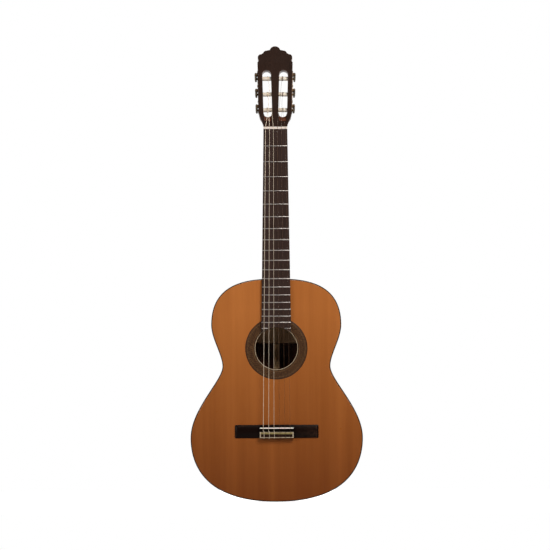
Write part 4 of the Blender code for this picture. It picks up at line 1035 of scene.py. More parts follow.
def makeTieInlay(frameFinish, goldFinish, middleFinish):
    size = bridgeShape
    low = saddleZ - size["below"] + 0.5 * mm
    high = saddleZ - size["below"] + size["tieLength"] - 0.5 * mm
    half = size["centreHalf"] - 0.6 * mm
    bottom = -size["tieHeight"] - 0.02 * mm
    top = bottom - size["inlay"] - 0.25 * mm

    def strip(shape, x, z, lift, ease=0.25 * mm):
        rows = []
        for height, inset in ((bottom, 0), (top - lift + ease, 0), (top - lift + ease * 0.3, ease * 0.3),
                              (top - lift, ease)):
            rows.append([bodyPoint(a, b, height) for a, b in (
                (x[0] + inset, z[0] + inset), (x[1] - inset, z[0] + inset), (x[1] - inset, z[1] - inset),
                (x[0] + inset, z[1] - inset))])
        skin(shape, rows, [0, 1, 1, 0.6])

    edge = 1.6 * mm
    ends = 2.4 * mm
    front = 4.6 * mm
    bone = bmesh.new()
    strip(bone, (-half, half), (low, low + edge), 0)
    strip(bone, (-half, half), (high - 0.9 * mm, high), 0)
    for side in (-1, 1):
        x = sorted((side * half, side * (half - ends)))
        strip(bone, x, (low + edge + 0.02 * mm, high - 0.92 * mm), 0)
    fixedPiece("tie_block_frame", bone, frameFinish, "inlay", ["tie_block_inlay"])
    gold = bmesh.new()
    middleSpan = (-half + ends + 0.02 * mm, half - ends - 0.02 * mm)
    strip(gold, middleSpan, (high - front, high - 0.94 * mm), -0.1 * mm)
    fixedPiece("tie_block_band", gold, goldFinish, "inlay")
    dark = bmesh.new()
    strip(dark, middleSpan, (low + edge + 0.02 * mm, high - front - 0.02 * mm), -0.2 * mm)
    fixedPiece("tie_block_middle", dark, middleFinish, "bridge_wood")


tunerShape = {
    "rollerRadius": 4.9 * mm, "shaftRadius": 2.4 * mm, "shoulder": 1 * mm,
    "plateThick": 1 * mm, "plateHalf": 8 * mm, "plateBelow": 8 * mm, "plateAbove": 17 * mm, "plateGap": 0.1 * mm,
    "teeth": 14, "gearModule": 0.92 * mm, "gearThick": 3 * mm, "gearOut": 4.4 * mm,
    "wormCrest": 2.65 * mm, "wormRoot": 1.65 * mm, "wormTurns": 3, "wormShaft": 1.05 * mm, "clearance": 0.35 * mm,
    "tabThick": 1.4 * mm, "tabHalf": 2.6 * mm, "tabGap": 0.5 * mm,
    "buttonStart": 15 * mm, "buttonLength": 16 * mm, "buttonHalf": 9.8 * mm, "buttonThick": 5.4 * mm,
    "buttonStations": ((0, 0.45, 0.8), (0.14, 0.72, 1.0), (0.38, 1.0, 1.0), (0.72, 1.0, 1.0), (0.93, 0.78, 0.85),
                       (1, 0.55, 0.5)),
}
wormAbove = tunerShape["gearModule"] * tunerShape["teeth"] / 2 + 2.2 * mm + tunerShape["clearance"]
threadPitch = math.pi * tunerShape["gearModule"]
threadHalf = threadPitch * tunerShape["wormTurns"] / 2
tunerPlaces = [(-1, place, 6 - place) for place in range(3)] + [(1, place, 1 + place) for place in range(3)]


def tunerAxes(side, up):
    point = sidePoint(side)
    depth = headShape["rollerDepth"]
    origin = point(0, up, depth)
    out = (point(1, up, depth) - origin).normalized()
    back = (point(0, up, depth + 1) - origin).normalized()
    return Matrix.Translation(origin) @ Matrix((out, back.cross(out), back)).transposed().to_4x4()


def lathe(shape, profile, sides=40):
    # turned about X: (place along, radius, worn)
    skin(shape, [[(x, a, b) for a, b in circle(radius, sides)] for x, radius, worn in profile],
         [worn for x, radius, worn in profile])


def rollerMesh():
    size = tunerShape
    radius, inner = size["rollerRadius"], -headShape["rollerInner"]
    end = -size["shoulder"]
    profile = [(inner, radius - 0.9 * mm, 0.3), (inner + 0.2 * mm, radius - 0.4 * mm, 1),
               (inner + 0.8 * mm, radius, 1), (inner + 3 * mm, radius, 0),
               (inner + 3.6 * mm, radius - 0.35 * mm, 0)]
    for step in range(1, 9):
        x = inner + 3.6 * mm + (end - 3.6 * mm - inner - 3.6 * mm) * step / 9
        profile.append((x, radius - 0.35 * mm, 0))
    profile += [(end - 3.6 * mm, radius - 0.35 * mm, 0), (end - 3 * mm, radius, 0), (end - 0.4 * mm, radius, 0.5),
                (end, radius - 0.4 * mm, 1)]
    shape = bmesh.new()
    lathe(shape, profile)
    return newMesh("roller", shape)


def gearMesh():
    size = tunerShape
    tip = wormAbove - size["wormRoot"] - size["clearance"] - 0.05 * mm
    root = wormAbove - size["wormCrest"] - size["clearance"] - 0.05 * mm
    step = math.tau / size["teeth"]
    tooth = ((-0.5, 0), (-0.36, 0.03), (-0.27, 0.2), (-0.2, 0.62), (-0.12, 0.95), (-0.05, 1), (0.05, 1),
             (0.12, 0.95), (0.2, 0.62), (0.27, 0.2), (0.36, 0.03))
    low, high = size["gearOut"] - size["gearThick"] / 2, size["gearOut"] + size["gearThick"] / 2
    centre = (low + high) / 2
    rows = [(low, -0.45, 1), (low + 0.35 * mm, 0, 1), (low + 0.9 * mm, -0.14, 0), (centre, -0.22, 0),
            (high - 0.9 * mm, -0.14, 0), (high - 0.35 * mm, 0, 1), (high, -0.45, 1)]

    def rim(shrink):
        ring = []
        for i in range(size["teeth"]):
            for share, lift in tooth:
                turn = (i + 0.5 + share) * step
                radius = root + (tip - root) * lift + shrink * mm
                ring.append((radius * math.cos(turn), radius * math.sin(turn)))
        return ring

    bore = size["shaftRadius"] + 0.15 * mm
    shape = bmesh.new()
    outer = [(rim(shrink), x, worn) for x, shrink, worn in rows]
    inner = [(circle(bore, 40, clockwise=True), x, 0.0) for x in (low, high)]
    plate(shape, [outer, inner], lambda a, b, depth: Vector((depth, a, b)))
    return newMesh("gear", shape, 40)


def shaftMesh():
    # the roller's steel end, with the slotted screw that holds the gear on it
    size = tunerShape
    inner = -size["shoulder"] + 0.02 * mm
    high = size["gearOut"] + size["gearThick"] / 2
    radius = size["shaftRadius"]
    shape = bmesh.new()
    lathe(shape, [(inner, radius, 0), (high + 0.05 * mm, radius, 0), (high + 0.06 * mm, radius + 0.9 * mm, 0),
                  (high + 0.5 * mm, radius + 0.9 * mm, 1), (high + 0.9 * mm, radius + 0.4 * mm, 1),
                  (high + 1.1 * mm, radius - 0.8 * mm, 0.4), (high + 1.15 * mm, 0.4 * mm, 0.2)])
    slot = bmesh.new()
    skin(slot, [[(x, a, b) for a, b in ((-5 * mm, -0.35 * mm), (5 * mm, -0.35 * mm), (5 * mm, 0.35 * mm),
                                         (-5 * mm, 0.35 * mm))] for x in (high + 0.6 * mm, high + 3 * mm)])
    return carve(newMesh("shaft", shape), [newMesh("slot", slot)])


def wormMesh():
    size = tunerShape
    sides = 28
    front = -(threadHalf + size["tabGap"] + size["tabThick"] + 0.3 * mm)
    shaft = size["wormShaft"]
    rows, worn = [], []

    def ring(radius, z, edge=0.0):
        rows.append([(a, b, z) for a, b in circle(radius, sides)])
        worn.append(edge)

    ring(shaft - 0.3 * mm, front, 1)
    ring(shaft, front + 0.25 * mm, 0.6)
    ring(shaft, -threadHalf - 0.25 * mm)
    ring(size["wormRoot"] - 0.2 * mm, -threadHalf - 0.2 * mm)
    turns = 16 * size["wormTurns"]
    for row in range(turns + 1):
        z = -threadHalf + 2 * threadHalf * row / turns
        fade = min(1.0, min(row, turns - row) / 5)
        points = []
        for side in range(sides):
            turn = math.tau * side / sides
            phase = (z / threadPitch - (turn + math.pi / 2) / math.tau) % 1.0
            lift = max(0.0, min(1.0, (0.36 - min(phase, 1 - phase)) / 0.2))
            radius = size["wormRoot"] + (size["wormCrest"] - size["wormRoot"]) * lift * fade
            points.append((radius * math.cos(turn), radius * math.sin(turn), z))
        rows.append(points)
        worn.append(0.3)
    ring(size["wormRoot"] - 0.2 * mm, threadHalf + 0.2 * mm)
    ring(shaft, threadHalf + 0.25 * mm)
    near = threadHalf + size["tabGap"] + size["tabThick"] + 0.4 * mm
    ring(shaft, near)
    ring(shaft + 0.75 * mm, near + 0.15 * mm, 1)
    ring(shaft + 0.9 * mm, near + 0.7 * mm, 0.5)
    ring(shaft + 0.4 * mm, near + 1.3 * mm)
    ring(shaft + 0.5 * mm, size["buttonStart"] - 2.6 * mm)
    ring(shaft + 1.35 * mm, size["buttonStart"] - 1.6 * mm, 1)
    ring(shaft + 1.45 * mm, size["buttonStart"] - 0.3 * mm, 0.6)
    ring(shaft + 1.1 * mm, size["buttonStart"] - 0.05 * mm)
    shape = bmesh.new()
    skin(shape, rows, worn)
    return newMesh("worm", shape, 50)


def buttonMesh():
    size = tunerShape
    wide = [(share, half) for share, half, thick in size["buttonStations"]]
    deep = [(share, thick) for share, half, thick in size["buttonStations"]]
    rows, worn = [], []
    count = 26
    for step in range(count + 1):
        share = step / count
        z = size["buttonStart"] + size["buttonLength"] * share
        half = size["buttonHalf"] * smoothStops(wide, share)
        thick = size["buttonThick"] / 2 * smoothStops(deep, share)
        cap = math.sqrt(max(0.0, 1 - (max(0.0, abs(share - 0.5) - 0.42) / 0.08) ** 2))
        half, thick = half * (0.8 + 0.2 * cap), thick * (0.55 + 0.45 * cap)
        row = []
        for i in range(40):
            turn = math.tau * i / 40
            a, b = math.cos(turn), math.sin(turn)
            a = math.copysign(abs(a) ** 0.75, a)
            b = math.copysign(abs(b) ** 0.45, b)
            # thumb hollows on both broad faces
            hollow = 1 - 0.22 * max(0.0, 1 - (b / 0.75) ** 2) * max(0.0, 1 - ((share - 0.55) / 0.4) ** 2)
            row.append((thick * a * hollow, half * b, z))
        rows.append(row)
        worn.append(0.3 + 0.7 * (1 - cap))
    shape = bmesh.new()
    skin(shape, rows, worn)
    return newMesh("button", shape, 50)


def roundedBox(halfA, lowB, highB, radius, steps=6):
    ring = []
    for a, b, first in ((highB - radius, halfA - radius, 0), (lowB + radius, halfA - radius, 90),
                        (lowB + radius, -halfA + radius, 180), (highB - radius, -halfA + radius, 270)):
        for step in range(steps + 1):
            turn = math.radians(first + 90 * step / steps)
            ring.append((a + radius * math.cos(turn), b + radius * math.sin(turn)))
    return ring


def makeTunerPlate(side, name, node, finish, screwFinish):
    size = tunerShape
    point = sidePoint(side)
    spacing, depth = headShape["rollerSpacing"], headShape["rollerDepth"]
    low, high = -spacing - size["plateBelow"], spacing + size["plateAbove"]
    front, back = size["plateGap"], size["plateGap"] + size["plateThick"]

    def place(a, b, out):
        return point(out, a, depth + b)

    outer = roundedBox(size["plateHalf"], low, high, 4.5 * mm)
    walls = [[(ring, deep, worn) for ring, deep, worn in (
        (offset(outer, 0.6 * mm), front, 0), (outer, front, 0), (outer, back - 0.3 * mm, 1),
        (offset(outer, 0.12 * mm), back - 0.08 * mm, 1), (offset(outer, 0.4 * mm), back, 1),
        (offset(outer, 0.9 * mm), back, 0))]]
    for up in (-spacing, 0, spacing):
        hole = circle(size["shaftRadius"] + 0.3 * mm, 40, clockwise=True, centre=(up, 0))
        walls.append([(hole, front, 0), (hole, back - 0.1 * mm, 0.6), (offset(hole, 0.1 * mm), back, 1)])
    base = bmesh.new()
    plate(base, walls, place)
    tabs = []
    near = threadHalf + size["tabGap"]
    half = size["tabHalf"]
    for up in (-spacing, 0, spacing):
        axis = up + wormAbove
        arch = [(back - 0.5 * mm, axis - half), (size["gearOut"], axis - half)]
        arch += [(size["gearOut"] + half * math.sin(math.pi * i / 16), axis - half * math.cos(math.pi * i / 16))
                 for i in range(1, 16)]
        arch += [(size["gearOut"], axis + half), (back - 0.5 * mm, axis + half)]
        for start in (-near - size["tabThick"], near):
            tab = bmesh.new()
            bore = circle(size["wormShaft"] + 0.25 * mm, 28, clockwise=True, centre=(size["gearOut"], axis))
            rows = easedRows(arch, start, start + size["tabThick"], 0.18 * mm, 2, 0.3 * mm)
            rims = [(bore, start, 0.0), (bore, start + size["tabThick"], 0.0)]
            plate(tab, [rows, rims], lambda a, b, deep: point(a, b, depth + deep))
            tabs.append(newMesh("tab", tab))
    made = carve(newMesh(name, base), tabs, "UNION", 40)
    piece(name, made, finish, "root", "plate_metal", [node])
    screws = bmesh.new()
    spots = [(low + 4 * mm, 0), (high - 4 * mm, 0)]
    spots += [(side * spacing / 2 + 1.5 * mm, across) for across in (5 * mm, -5 * mm) for side in (-1, 1)]
    cuts = []
    for i, (up, across) in enumerate(spots):
        rows = []
        for lift, radius in ((0.02, 1.7), (0.25, 1.65), (0.6, 1.3), (0.8, 0.7), (0.85, 0.2)):
            rows.append([place(up + a, across + b, back + lift * mm) for a, b in circle(radius * mm, 24)])
        skin(screws, rows)
        turn = 0.7 + 1.9 * i
        along, beside = (math.cos(turn), math.sin(turn)), (-math.sin(turn), math.cos(turn))
        corners = [(s * 2.4 * mm * along[0] + t * 0.22 * mm * beside[0],
                    s * 2.4 * mm * along[1] + t * 0.22 * mm * beside[1])
                   for s, t in ((-1, -1), (1, -1), (1, 1), (-1, 1))]
        box = bmesh.new()
        skin(box, [[place(up + a, across + b, out) for a, b in corners]
                   for out in (back + 0.4 * mm, back + 2 * mm)])
        cuts.append(newMesh("slot", box))
    made = carve(newMesh(name + "_screws", screws), cuts)
    piece(name + "_screws", made, screwFinish, "root", "gear_metal")


def makeTuners(finishes):
    makeTunerPlate(-1, "machine_plate_left", "tuner_plate_bass", finishes["plateMetal"], finishes["gearMetal"])
    makeTunerPlate(1, "machine_plate_right", "tuner_plate_treble", finishes["plateMetal"], finishes["gearMetal"])
    roller, gear, shaft, worm, button = rollerMesh(), gearMesh(), shaftMesh(), wormMesh(), buttonMesh()
    for side, place, number in tunerPlaces:
        axes = tunerAxes(side, (place - 1) * headShape["rollerSpacing"])
        turned = Matrix.Rotation(0 if side < 0 else math.pi, 4, "Z")
        worms = axes @ Matrix.Translation((tunerShape["gearOut"], -side * wormAbove, 0)) @ turned
        wheel, turner = f"string_roller_{number}", f"tuning_button_{number}"
        for word, mesh, finish, body, slot, spot in (
                ("roller", roller, "roller", wheel, "roller", axes),
                ("gear", gear, "gearMetal", wheel, "gear_metal", axes),
                ("roller_shaft", shaft, "gearMetal", wheel, "gear_metal", axes),
                ("worm", worm, "gearMetal", turner, "gear_metal", worms),
                ("button", button, "button", turner, "button", worms)):
            nodes = [] if mesh is shaft else [f"tuner_{word}_{number}"]
            piece(f"{word}_{number}", mesh.copy(), finishes[finish], body, slot, nodes, spot)


def stringRoute(number):
    size = bridgeShape
    radius = stringSet["diameters"][number] / 2
    clear = radius + 0.08 * mm
    x = stringX(number, stringSet["atSaddle"])
    beside = x + 3.2 * radius
    tail = saddleZ - size["below"]
    front = tail + size["tieLength"]
    over = size["tieHeight"] + 1.3 * mm + clear
    saddleTop = stringSet["saddleHeight"] + radius
    nutTop = stringSet["nutHeight"] + radius
    nutX = stringX(number, stringSet["atNut"])
    low = size["holeHeight"]
    route = [
        bodyPoint(x - 1.6 * radius, front + 1.3 * mm + 2 * clear, -over + 3.2 * clear),
        bodyPoint(x + 1.2 * radius, front + 1.2 * mm + clear, -over + 3 * clear),
        bodyPoint(beside, front + clear, -over + 1.3 * clear),
        bodyPoint(beside, front - clear, -over), bodyPoint(beside, tail + clear, -over),
        bodyPoint(beside, tail - clear, -over + clear), bodyPoint(beside, tail - 1.4 * clear, -(over + low) / 2),
        bodyPoint(x, tail - 1.4 * clear, -low), bodyPoint(x, front + 0.5 * mm, -low),
        bodyPoint(x, saddleZ - size["saddleThick"] / 2 - 0.6 * mm, -saddleTop + 1.1 * mm),
        bodyPoint(x, saddleZ, -saddleTop), bodyPoint(nutX, nutZ + 1.1 * mm, -nutTop)]
    side = -1 if number < 3 else 1
    fromEdge = min(number, 5 - number)  # the outer strings go to the lowest rollers
    up = (fromEdge - 1) * headShape["rollerSpacing"]
    wrap = tunerShape["rollerRadius"] - 0.3 * mm + radius
    inward = -(headShape["rollerInner"] + headShape["slotRadius"]) / 2 + (1 - fromEdge) * stringSet["stagger"]
    turn = math.radians(stringSet["wrapStart"])
    landing = sidePoint(side)(inward, up + wrap * math.sin(turn), headShape["rollerDepth"] - wrap * math.cos(turn))
    nextOne = sidePoint(side)(inward, up, headShape["rollerDepth"] - wrap)
    return route, landing, nextOne, (side, up, wrap, inward)


def makeStrings(wound, plain):
    for number, diameter in enumerate(stringSet["diameters"]):
        route, landing, nextOne, (side, up, wrap, inward) = stringRoute(number)
        radius = diameter / 2
        line = roundCorners(route + [landing], 0.9 * mm)
        shape = bmesh.new()
        tube(shape, line + [nextOne], radius - stringSet["slimmer"], 12)
        finish = wound if number < 3 else plain
        slotName = "wound_string" if number < 3 else "nylon_string"
        name = 6 - number
        piece(f"string_line_{name}", newMesh(f"string_line_{name}", shape, 50), finish, "root", slotName,
              [f"string_{name}"])
        point = sidePoint(side)
        coil = []
        turns = stringSet["turns"]
        count = int(turns * 28)
        pitch = diameter + stringSet["pitch"]
        for i in range(count + 1):
            turn = math.radians(stringSet["wrapStart"]) + math.tau * turns * i / count
            along = inward + pitch * turns * i / count
            lift = wrap + 0.03 * mm
            coil.append(point(along, up + lift * math.sin(turn), headShape["rollerDepth"] - lift * math.cos(turn)))
        # the end dives through the roller
        last = coil[-1]
        centre = point(inward + pitch * turns, up, headShape["rollerDepth"])
        coil.append(last.lerp(centre, 0.35))
        wraps = bmesh.new()
        tube(wraps, coil, radius, 10)
        piece(f"string_wrap_{name}", newMesh(f"string_wrap_{name}", wraps, 50), finish,
              f"string_roller_{name}", slotName)


rawSpruce = {"pore": (120, 82, 48), "worn": (205, 170, 120), "spacing": 1.1, "stretch": 50, "waviness": 0.1,
             "bands": 0.35, "lines": 0.4, "fibres": 0.3, "pores": 0.0, "wear": 0.0, "roughness": 0.68,
             "smudges": 0.1, "ripple": 0.5, "relief": 0.24}
woods = {
    "cedarTop": {"light": (177, 107, 52), "dark": (150, 86, 38), "pore": (104, 54, 24), "worn": (196, 142, 92),
              # painted shade: the top's colour is multiplied darker towards the tail and fades out further up
              "paintedTailShade": (178, 158, 132), "paintedShadeUpTo": 0.42,
              "spacing": 1.25, "stretch": 55, "waviness": 0.1, "bands": 0.5, "lines": 0.34, "fibres": 0.22,
              "pores": 0.12, "wear": 0.35, "roughness": 0.3, "smudges": 0.12, "ripple": 0.25, "relief": 0.1},
    "rosewoodBack": {"light": (98, 60, 42), "dark": (40, 22, 15), "pore": (16, 9, 7), "worn": (122, 82, 60),
                 "spacing": 3.4, "stretch": 26, "waviness": 0.75, "bands": 0.62, "lines": 0.4, "fibres": 0.2,
                 "pores": 0.55, "wear": 0.4, "roughness": 0.26, "smudges": 0.14, "ripple": 0.3, "relief": 0.09,
                 "gloss": 0.24, "coat": 0.04},
    "darkBinding": {"light": (34, 19, 14), "dark": (17, 10, 8), "pore": (8, 5, 4), "worn": (70, 44, 31),
                "spacing": 1.6, "stretch": 20, "waviness": 0.4, "bands": 0.5, "lines": 0.2, "fibres": 0.3,
                "pores": 0.3, "wear": 0.35, "roughness": 0.26, "smudges": 0.1, "ripple": 0.2, "relief": 0.09},
    "purflingLine": {"light": (66, 38, 23), "dark": (44, 25, 16), "pore": (60, 34, 20), "worn": (140, 98, 64),
                 "spacing": 0.8, "stretch": 12, "waviness": 0.4, "bands": 0.4, "lines": 0.2, "fibres": 0.4,
                 "pores": 0.2, "wear": 0.2, "roughness": 0.3, "smudges": 0.1, "ripple": 0.2, "relief": 0.09},
    "neckWood": {"light": (98, 53, 32), "dark": (62, 32, 19), "pore": (42, 20, 13), "worn": (148, 94, 62),
                 "spacing": 2.1, "stretch": 24, "waviness": 0.35, "bands": 0.5, "lines": 0.25, "fibres": 0.3,
                 "pores": 0.6, "wear": 0.45, "roughness": 0.28, "smudges": 0.14, "ripple": 0.25, "relief": 0.1,
                 "coat": 0.04},
    "headVeneer": {"light": (46, 30, 23), "dark": (27, 17, 13), "pore": (18, 11, 9), "worn": (104, 74, 56),
               "spacing": 2.6, "stretch": 22, "waviness": 0.6, "bands": 0.5, "lines": 0.35, "fibres": 0.25,
               "pores": 0.5, "wear": 0.5, "roughness": 0.27, "smudges": 0.14, "ripple": 0.3, "relief": 0.09,
               "gloss": 0.08},
    "fingerboardWood": {"light": (62, 46, 41), "dark": (38, 27, 23), "pore": (24, 17, 15), "worn": (116, 94, 82),
              "spacing": 1.9, "stretch": 30, "waviness": 0.4, "bands": 0.5, "lines": 0.3, "fibres": 0.35,
              "pores": 0.5, "wear": 0.45, "roughness": 0.42, "smudges": 0.2, "ripple": 0.3, "relief": 0.15,
              "gloss": 0.12},
    "bridgeWood": {"light": (22, 10, 7), "dark": (10, 4, 3), "pore": (8, 5, 4), "worn": (92, 62, 46), "along": "x",
               "spacing": 2.2, "stretch": 20, "waviness": 0.5, "bands": 0.5, "lines": 0.35, "fibres": 0.25,
               "pores": 0.5, "wear": 0.35, "roughness": 0.33, "smudges": 0.12, "ripple": 0.25, "relief": 0.12,
               "gloss": 0.08},
    "blockWood": {"light": (206, 166, 126), "dark": (166, 128, 92), "pore": (52, 27, 17), "worn": (150, 100, 66),
                  "spacing": 2.2, "stretch": 20, "waviness": 0.4, "bands": 0.5, "lines": 0.25, "fibres": 0.4,
                  "pores": 0.6, "wear": 0.0, "roughness": 0.62, "smudges": 0.1, "ripple": 0.5, "relief": 0.27},
    "braceSpruce": {**rawSpruce, "light": (238, 204, 158), "dark": (196, 156, 112), "along": "x"},
    "fanSpruce": {**rawSpruce, "light": (196, 156, 104), "dark": (150, 108, 66)},
}

woods["rosewoodSides"] = {**woods["rosewoodBack"], "along": "strip"}

rosetteLook = {"tiles": 72, "dark": (42, 26, 17), "mid": (84, 57, 36), "light": (104, 76, 48), "line": (22, 13, 10),
               "cream": (206, 184, 152)}


def rosetteMaterial():
    # mosaic of small end-grain tiles between thin dark and cream rings
    look = rosetteLook
    made, tree, surface = newMaterial("rosetteMosaic", Specular_IOR_Level=0.2)
    place = addNode(tree, "ShaderNodeTexCoord").outputs["Object"]
    split = addNode(tree, "ShaderNodeSeparateXYZ", {0: place}).outputs
    up = calc(tree, "SUBTRACT", split[2], holeZ)
    turn = calc(tree, "ARCTAN2", up, split[0])
    square = calc(tree, "ADD", calc(tree, "MULTIPLY", split[0], split[0]), calc(tree, "MULTIPLY", up, up))
    radius = calc(tree, "SQRT", square)
    step = calc(tree, "MULTIPLY", turn, look["tiles"] / math.tau)
    ringNumber = calc(tree, "FLOOR", calc(tree, "DIVIDE", radius, 0.9 * mm))
    tile = calc(tree, "FLOOR", calc(tree, "MULTIPLY", step, 4))
    spot = addNode(tree, "ShaderNodeCombineXYZ", {0: ringNumber, 1: tile, 2: 0.0}).outputs[0]
    random = addNode(tree, "ShaderNodeTexWhiteNoise", {"Vector": spot}, noise_dimensions="3D").outputs["Value"]
    wave = calc(tree, "SINE", calc(tree, "MULTIPLY_ADD", step, math.tau, calc(tree, "MULTIPLY", radius, 620.0)))
    grainy = noise(tree, place, 900.0, 3.0, 0.6)
    mix = calc(tree, "MULTIPLY_ADD", wave, 0.22, calc(tree, "MULTIPLY_ADD", random, 0.45, 0.2))
    mix = calc(tree, "MULTIPLY_ADD", calc(tree, "SUBTRACT", grainy, 0.5), 0.5, mix, clamp=True)
    colour = mixColour(tree, mix, paint(*look["dark"]), paint(*look["mid"]))
    bright = calc(tree, "GREATER_THAN", random, 0.86)
    colour = mixColour(tree, calc(tree, "MULTIPLY", bright, 0.7), colour, paint(*look["light"]))
    inner, outer = bodyShape["rosetteInner"], bodyShape["rosetteOuter"]
    for start, low, high, tone in ((inner, -1, 0.75, "cream"), (inner, 0.75, 1.9, "line"),
                                   (outer, -1.6, 1, "line"), (outer, -2.3, -1.6, "mid"),
                                   (inner, 4.4, 4.9, "light"), (outer, -5.2, -4.7, "light")):
        above = calc(tree, "GREATER_THAN", radius, start + low * mm)
        inside = calc(tree, "MULTIPLY", above, calc(tree, "LESS_THAN", radius, start + high * mm))
        colour = mixColour(tree, inside, colour, paint(*look[tone]))
    finish = useGroup(tree, lacquerGroup, {"Vector": place, "Roughness": 0.3, "Smudges": 0.12, "Ripple": 0.3})
    height = calc(tree, "MULTIPLY_ADD", mix, 0.4, finish["Height"])
    dress(tree, surface, colour, finish["Roughness"], height, 0.05 * mm)
    return made


def boneMaterial(name, look):
    made, tree, surface = newMaterial(name, Subsurface_Weight=look["depth"], Subsurface_Scale=0.002)
    surface.inputs["Subsurface Radius"].default_value = (1.0, 0.6, 0.4)
    place = addNode(tree, "ShaderNodeTexCoord").outputs["Object"]
    cloud = between(tree, noise(tree, place, 130.0, 4.0, 0.6), 0.3, 0.7)
    streak = between(tree, noise(tree, stretched(tree, place, 300.0, 1800.0, 1800.0), 1.0, 3.0), 0.35, 0.75)
    share = calc(tree, "MULTIPLY_ADD", streak, 0.45, calc(tree, "MULTIPLY", cloud, 0.5), clamp=True)
    colour = mixColour(tree, share, paint(*look["light"]), paint(*look["dark"]))
    worn = useGroup(tree, wearGroup, {"Color": colour, "Worn Color": paint(*look["worn"]), "Amount": look["wear"],
                                      "Vector": place})
    finish = useGroup(tree, lacquerGroup, {"Vector": place, "Roughness": look["roughness"], "Smudges": 0.15,
                                           "Ripple": 0.4})
    height = calc(tree, "MULTIPLY_ADD", streak, -0.4, finish["Height"])
    dress(tree, surface, worn["Color"], finish["Roughness"], height, 0.05 * mm)
    return made


bones = {
    "nutBone": {"light": (214, 203, 194), "dark": (188, 174, 162), "worn": (238, 233, 224), "wear": 0.3,
                "roughness": 0.3, "depth": 0.15},
    "saddleBone": {"light": (252, 244, 236), "dark": (228, 214, 202), "worn": (255, 250, 244), "wear": 0.3,
                   "roughness": 0.3, "depth": 0.15},
    "rollerBone": {"light": (222, 212, 198), "dark": (194, 182, 164), "worn": (182, 168, 146), "wear": 0.5,
                   "roughness": 0.28, "depth": 0.15},
    "inlayBone": {"light": (182, 166, 142), "dark": (146, 128, 104), "worn": (200, 186, 162), "wear": 0.3,
                  "roughness": 0.3, "depth": 0.05},
    "goldInlay": {"light": (150, 134, 84), "dark": (92, 80, 46), "worn": (170, 152, 100), "wear": 0.3,
                  "roughness": 0.32, "depth": 0.0},
    "buttonHorn": {"light": (32, 22, 20), "dark": (16, 11, 10), "worn": (74, 56, 48), "wear": 0.35,
                   "roughness": 0.2, "depth": 0.0},
}
metals = {
    "plateBrass": {"bright": (84, 64, 44), "dull": (36, 27, 20), "dulling": 0.85, "roughness": 0.34},
    "nickel": {"bright": (98, 85, 68), "dull": (48, 39, 30), "dulling": 0.75, "roughness": 0.3},
    "fretNickel": {"bright": (192, 186, 182), "dull": (142, 134, 128), "dulling": 0.5, "roughness": 0.34},
}


def metalMaterial(name, look):
    made, tree, surface = newMaterial(name, Metallic=1.0)
    place = addNode(tree, "ShaderNodeTexCoord").outputs["Object"]
    metal = useGroup(tree, metalGroup, {
        "Vector": place, "Bright": paint(*look["bright"]), "Dull": paint(*look["dull"]),
        "Dulling": look["dulling"], "Roughness": look["roughness"]})
    worn = useGroup(tree, wearGroup, {"Color": metal["Color"], "Worn Color": paint(*look["bright"]), "Amount": 0.8,
                                      "Vector": place})
    dress(tree, surface, worn["Color"], metal["Roughness"], metal["Height"], 0.02 * mm)
    return made


stringLooks = {"wound": {"bright": (238, 222, 200), "dull": (184, 160, 132), "groove": (96, 74, 52),
                         "windings": 0.16 * mm},
               "nylon": {"light": (112, 82, 62), "dark": (80, 56, 40)}}


def woundMaterial():
    look = stringLooks["wound"]
    made, tree, surface = newMaterial("woundSilver", Metallic=0.25)
    place = addNode(tree, "ShaderNodeTexCoord").outputs["Object"]
    along = addNode(tree, "ShaderNodeAttribute", attribute_name="along").outputs["Fac"]
    winding = calc(tree, "SINE", calc(tree, "MULTIPLY", along, math.tau / look["windings"]))
    winding = calc(tree, "MULTIPLY_ADD", winding, 0.5, 0.5)
    metal = useGroup(tree, metalGroup, {
        "Vector": place, "Bright": paint(*look["bright"]), "Dull": paint(*look["dull"]), "Dulling": 0.6,
        "Roughness": 0.3})
    # painted shade: the colour darkens into the grooves between the windings
    groove = calc(tree, "MULTIPLY_ADD", winding, -0.3, 0.3)
    colour = mixColour(tree, groove, metal["Color"], paint(*look["groove"]))
    dress(tree, surface, colour, metal["Roughness"], winding, 0.06 * mm)
    return made


def nylonMaterial():
    look = stringLooks["nylon"]
    made, tree, surface = newMaterial("clearNylon")
    place = addNode(tree, "ShaderNodeTexCoord").outputs["Object"]
    cloud = between(tree, noise(tree, place, 220.0, 3.0), 0.3, 0.7)
    edge = addNode(tree, "ShaderNodeLayerWeight", {"Blend": 0.4}).outputs["Facing"]
    share = calc(tree, "MULTIPLY_ADD", edge, 0.6, calc(tree, "MULTIPLY", cloud, 0.4), clamp=True)
    colour = mixColour(tree, share, paint(*look["light"]), paint(*look["dark"]))
    finish = useGroup(tree, lacquerGroup, {"Vector": place, "Roughness": 0.18, "Smudges": 0.1, "Ripple": 0.1})
    dress(tree, surface, colour, finish["Roughness"])
    tree.links.new(calc(tree, "MULTIPLY_ADD", edge, 0.35, 0.25), surface.inputs["Alpha"])
    return made


stageLook = {
    "floorRadius": 1.3, "floorDark": (244, 243, 241), "floorLight": (250, 249, 248),
    "floorBounce": (170, 168, 165), "fill": 0.34, "behindCamera": 0.02, "backdrop": 0.6,
    "cameraAway": 24.0, "acrossAt": -0.0022, "heightAt": 0.4929, "seen": 1.1955, "roll": math.radians(0.26),
    "lights": (
        # name, place, aim, size, power, colour
        ("keyLight", (0.85, -1.5, 1.75), (0, 0, 0.42), 0.9, 46, (1.0, 0.97, 0.93)),
        ("fillLight", (-1.7, -1.6, 1.0), (0, 0, 0.5), 1.2, 19, (0.95, 0.97, 1.0)),
        ("rimLight", (-1.3, 1.3, 1.3), (0, 0, 0.5), 1.8, 13, (1.0, 0.99, 0.97)),
        ("lowRimLight", (1.4, 1.2, 0.5), (0, 0, 0.4), 1.6, 12, (1.0, 0.99, 0.97)),
    ),
}


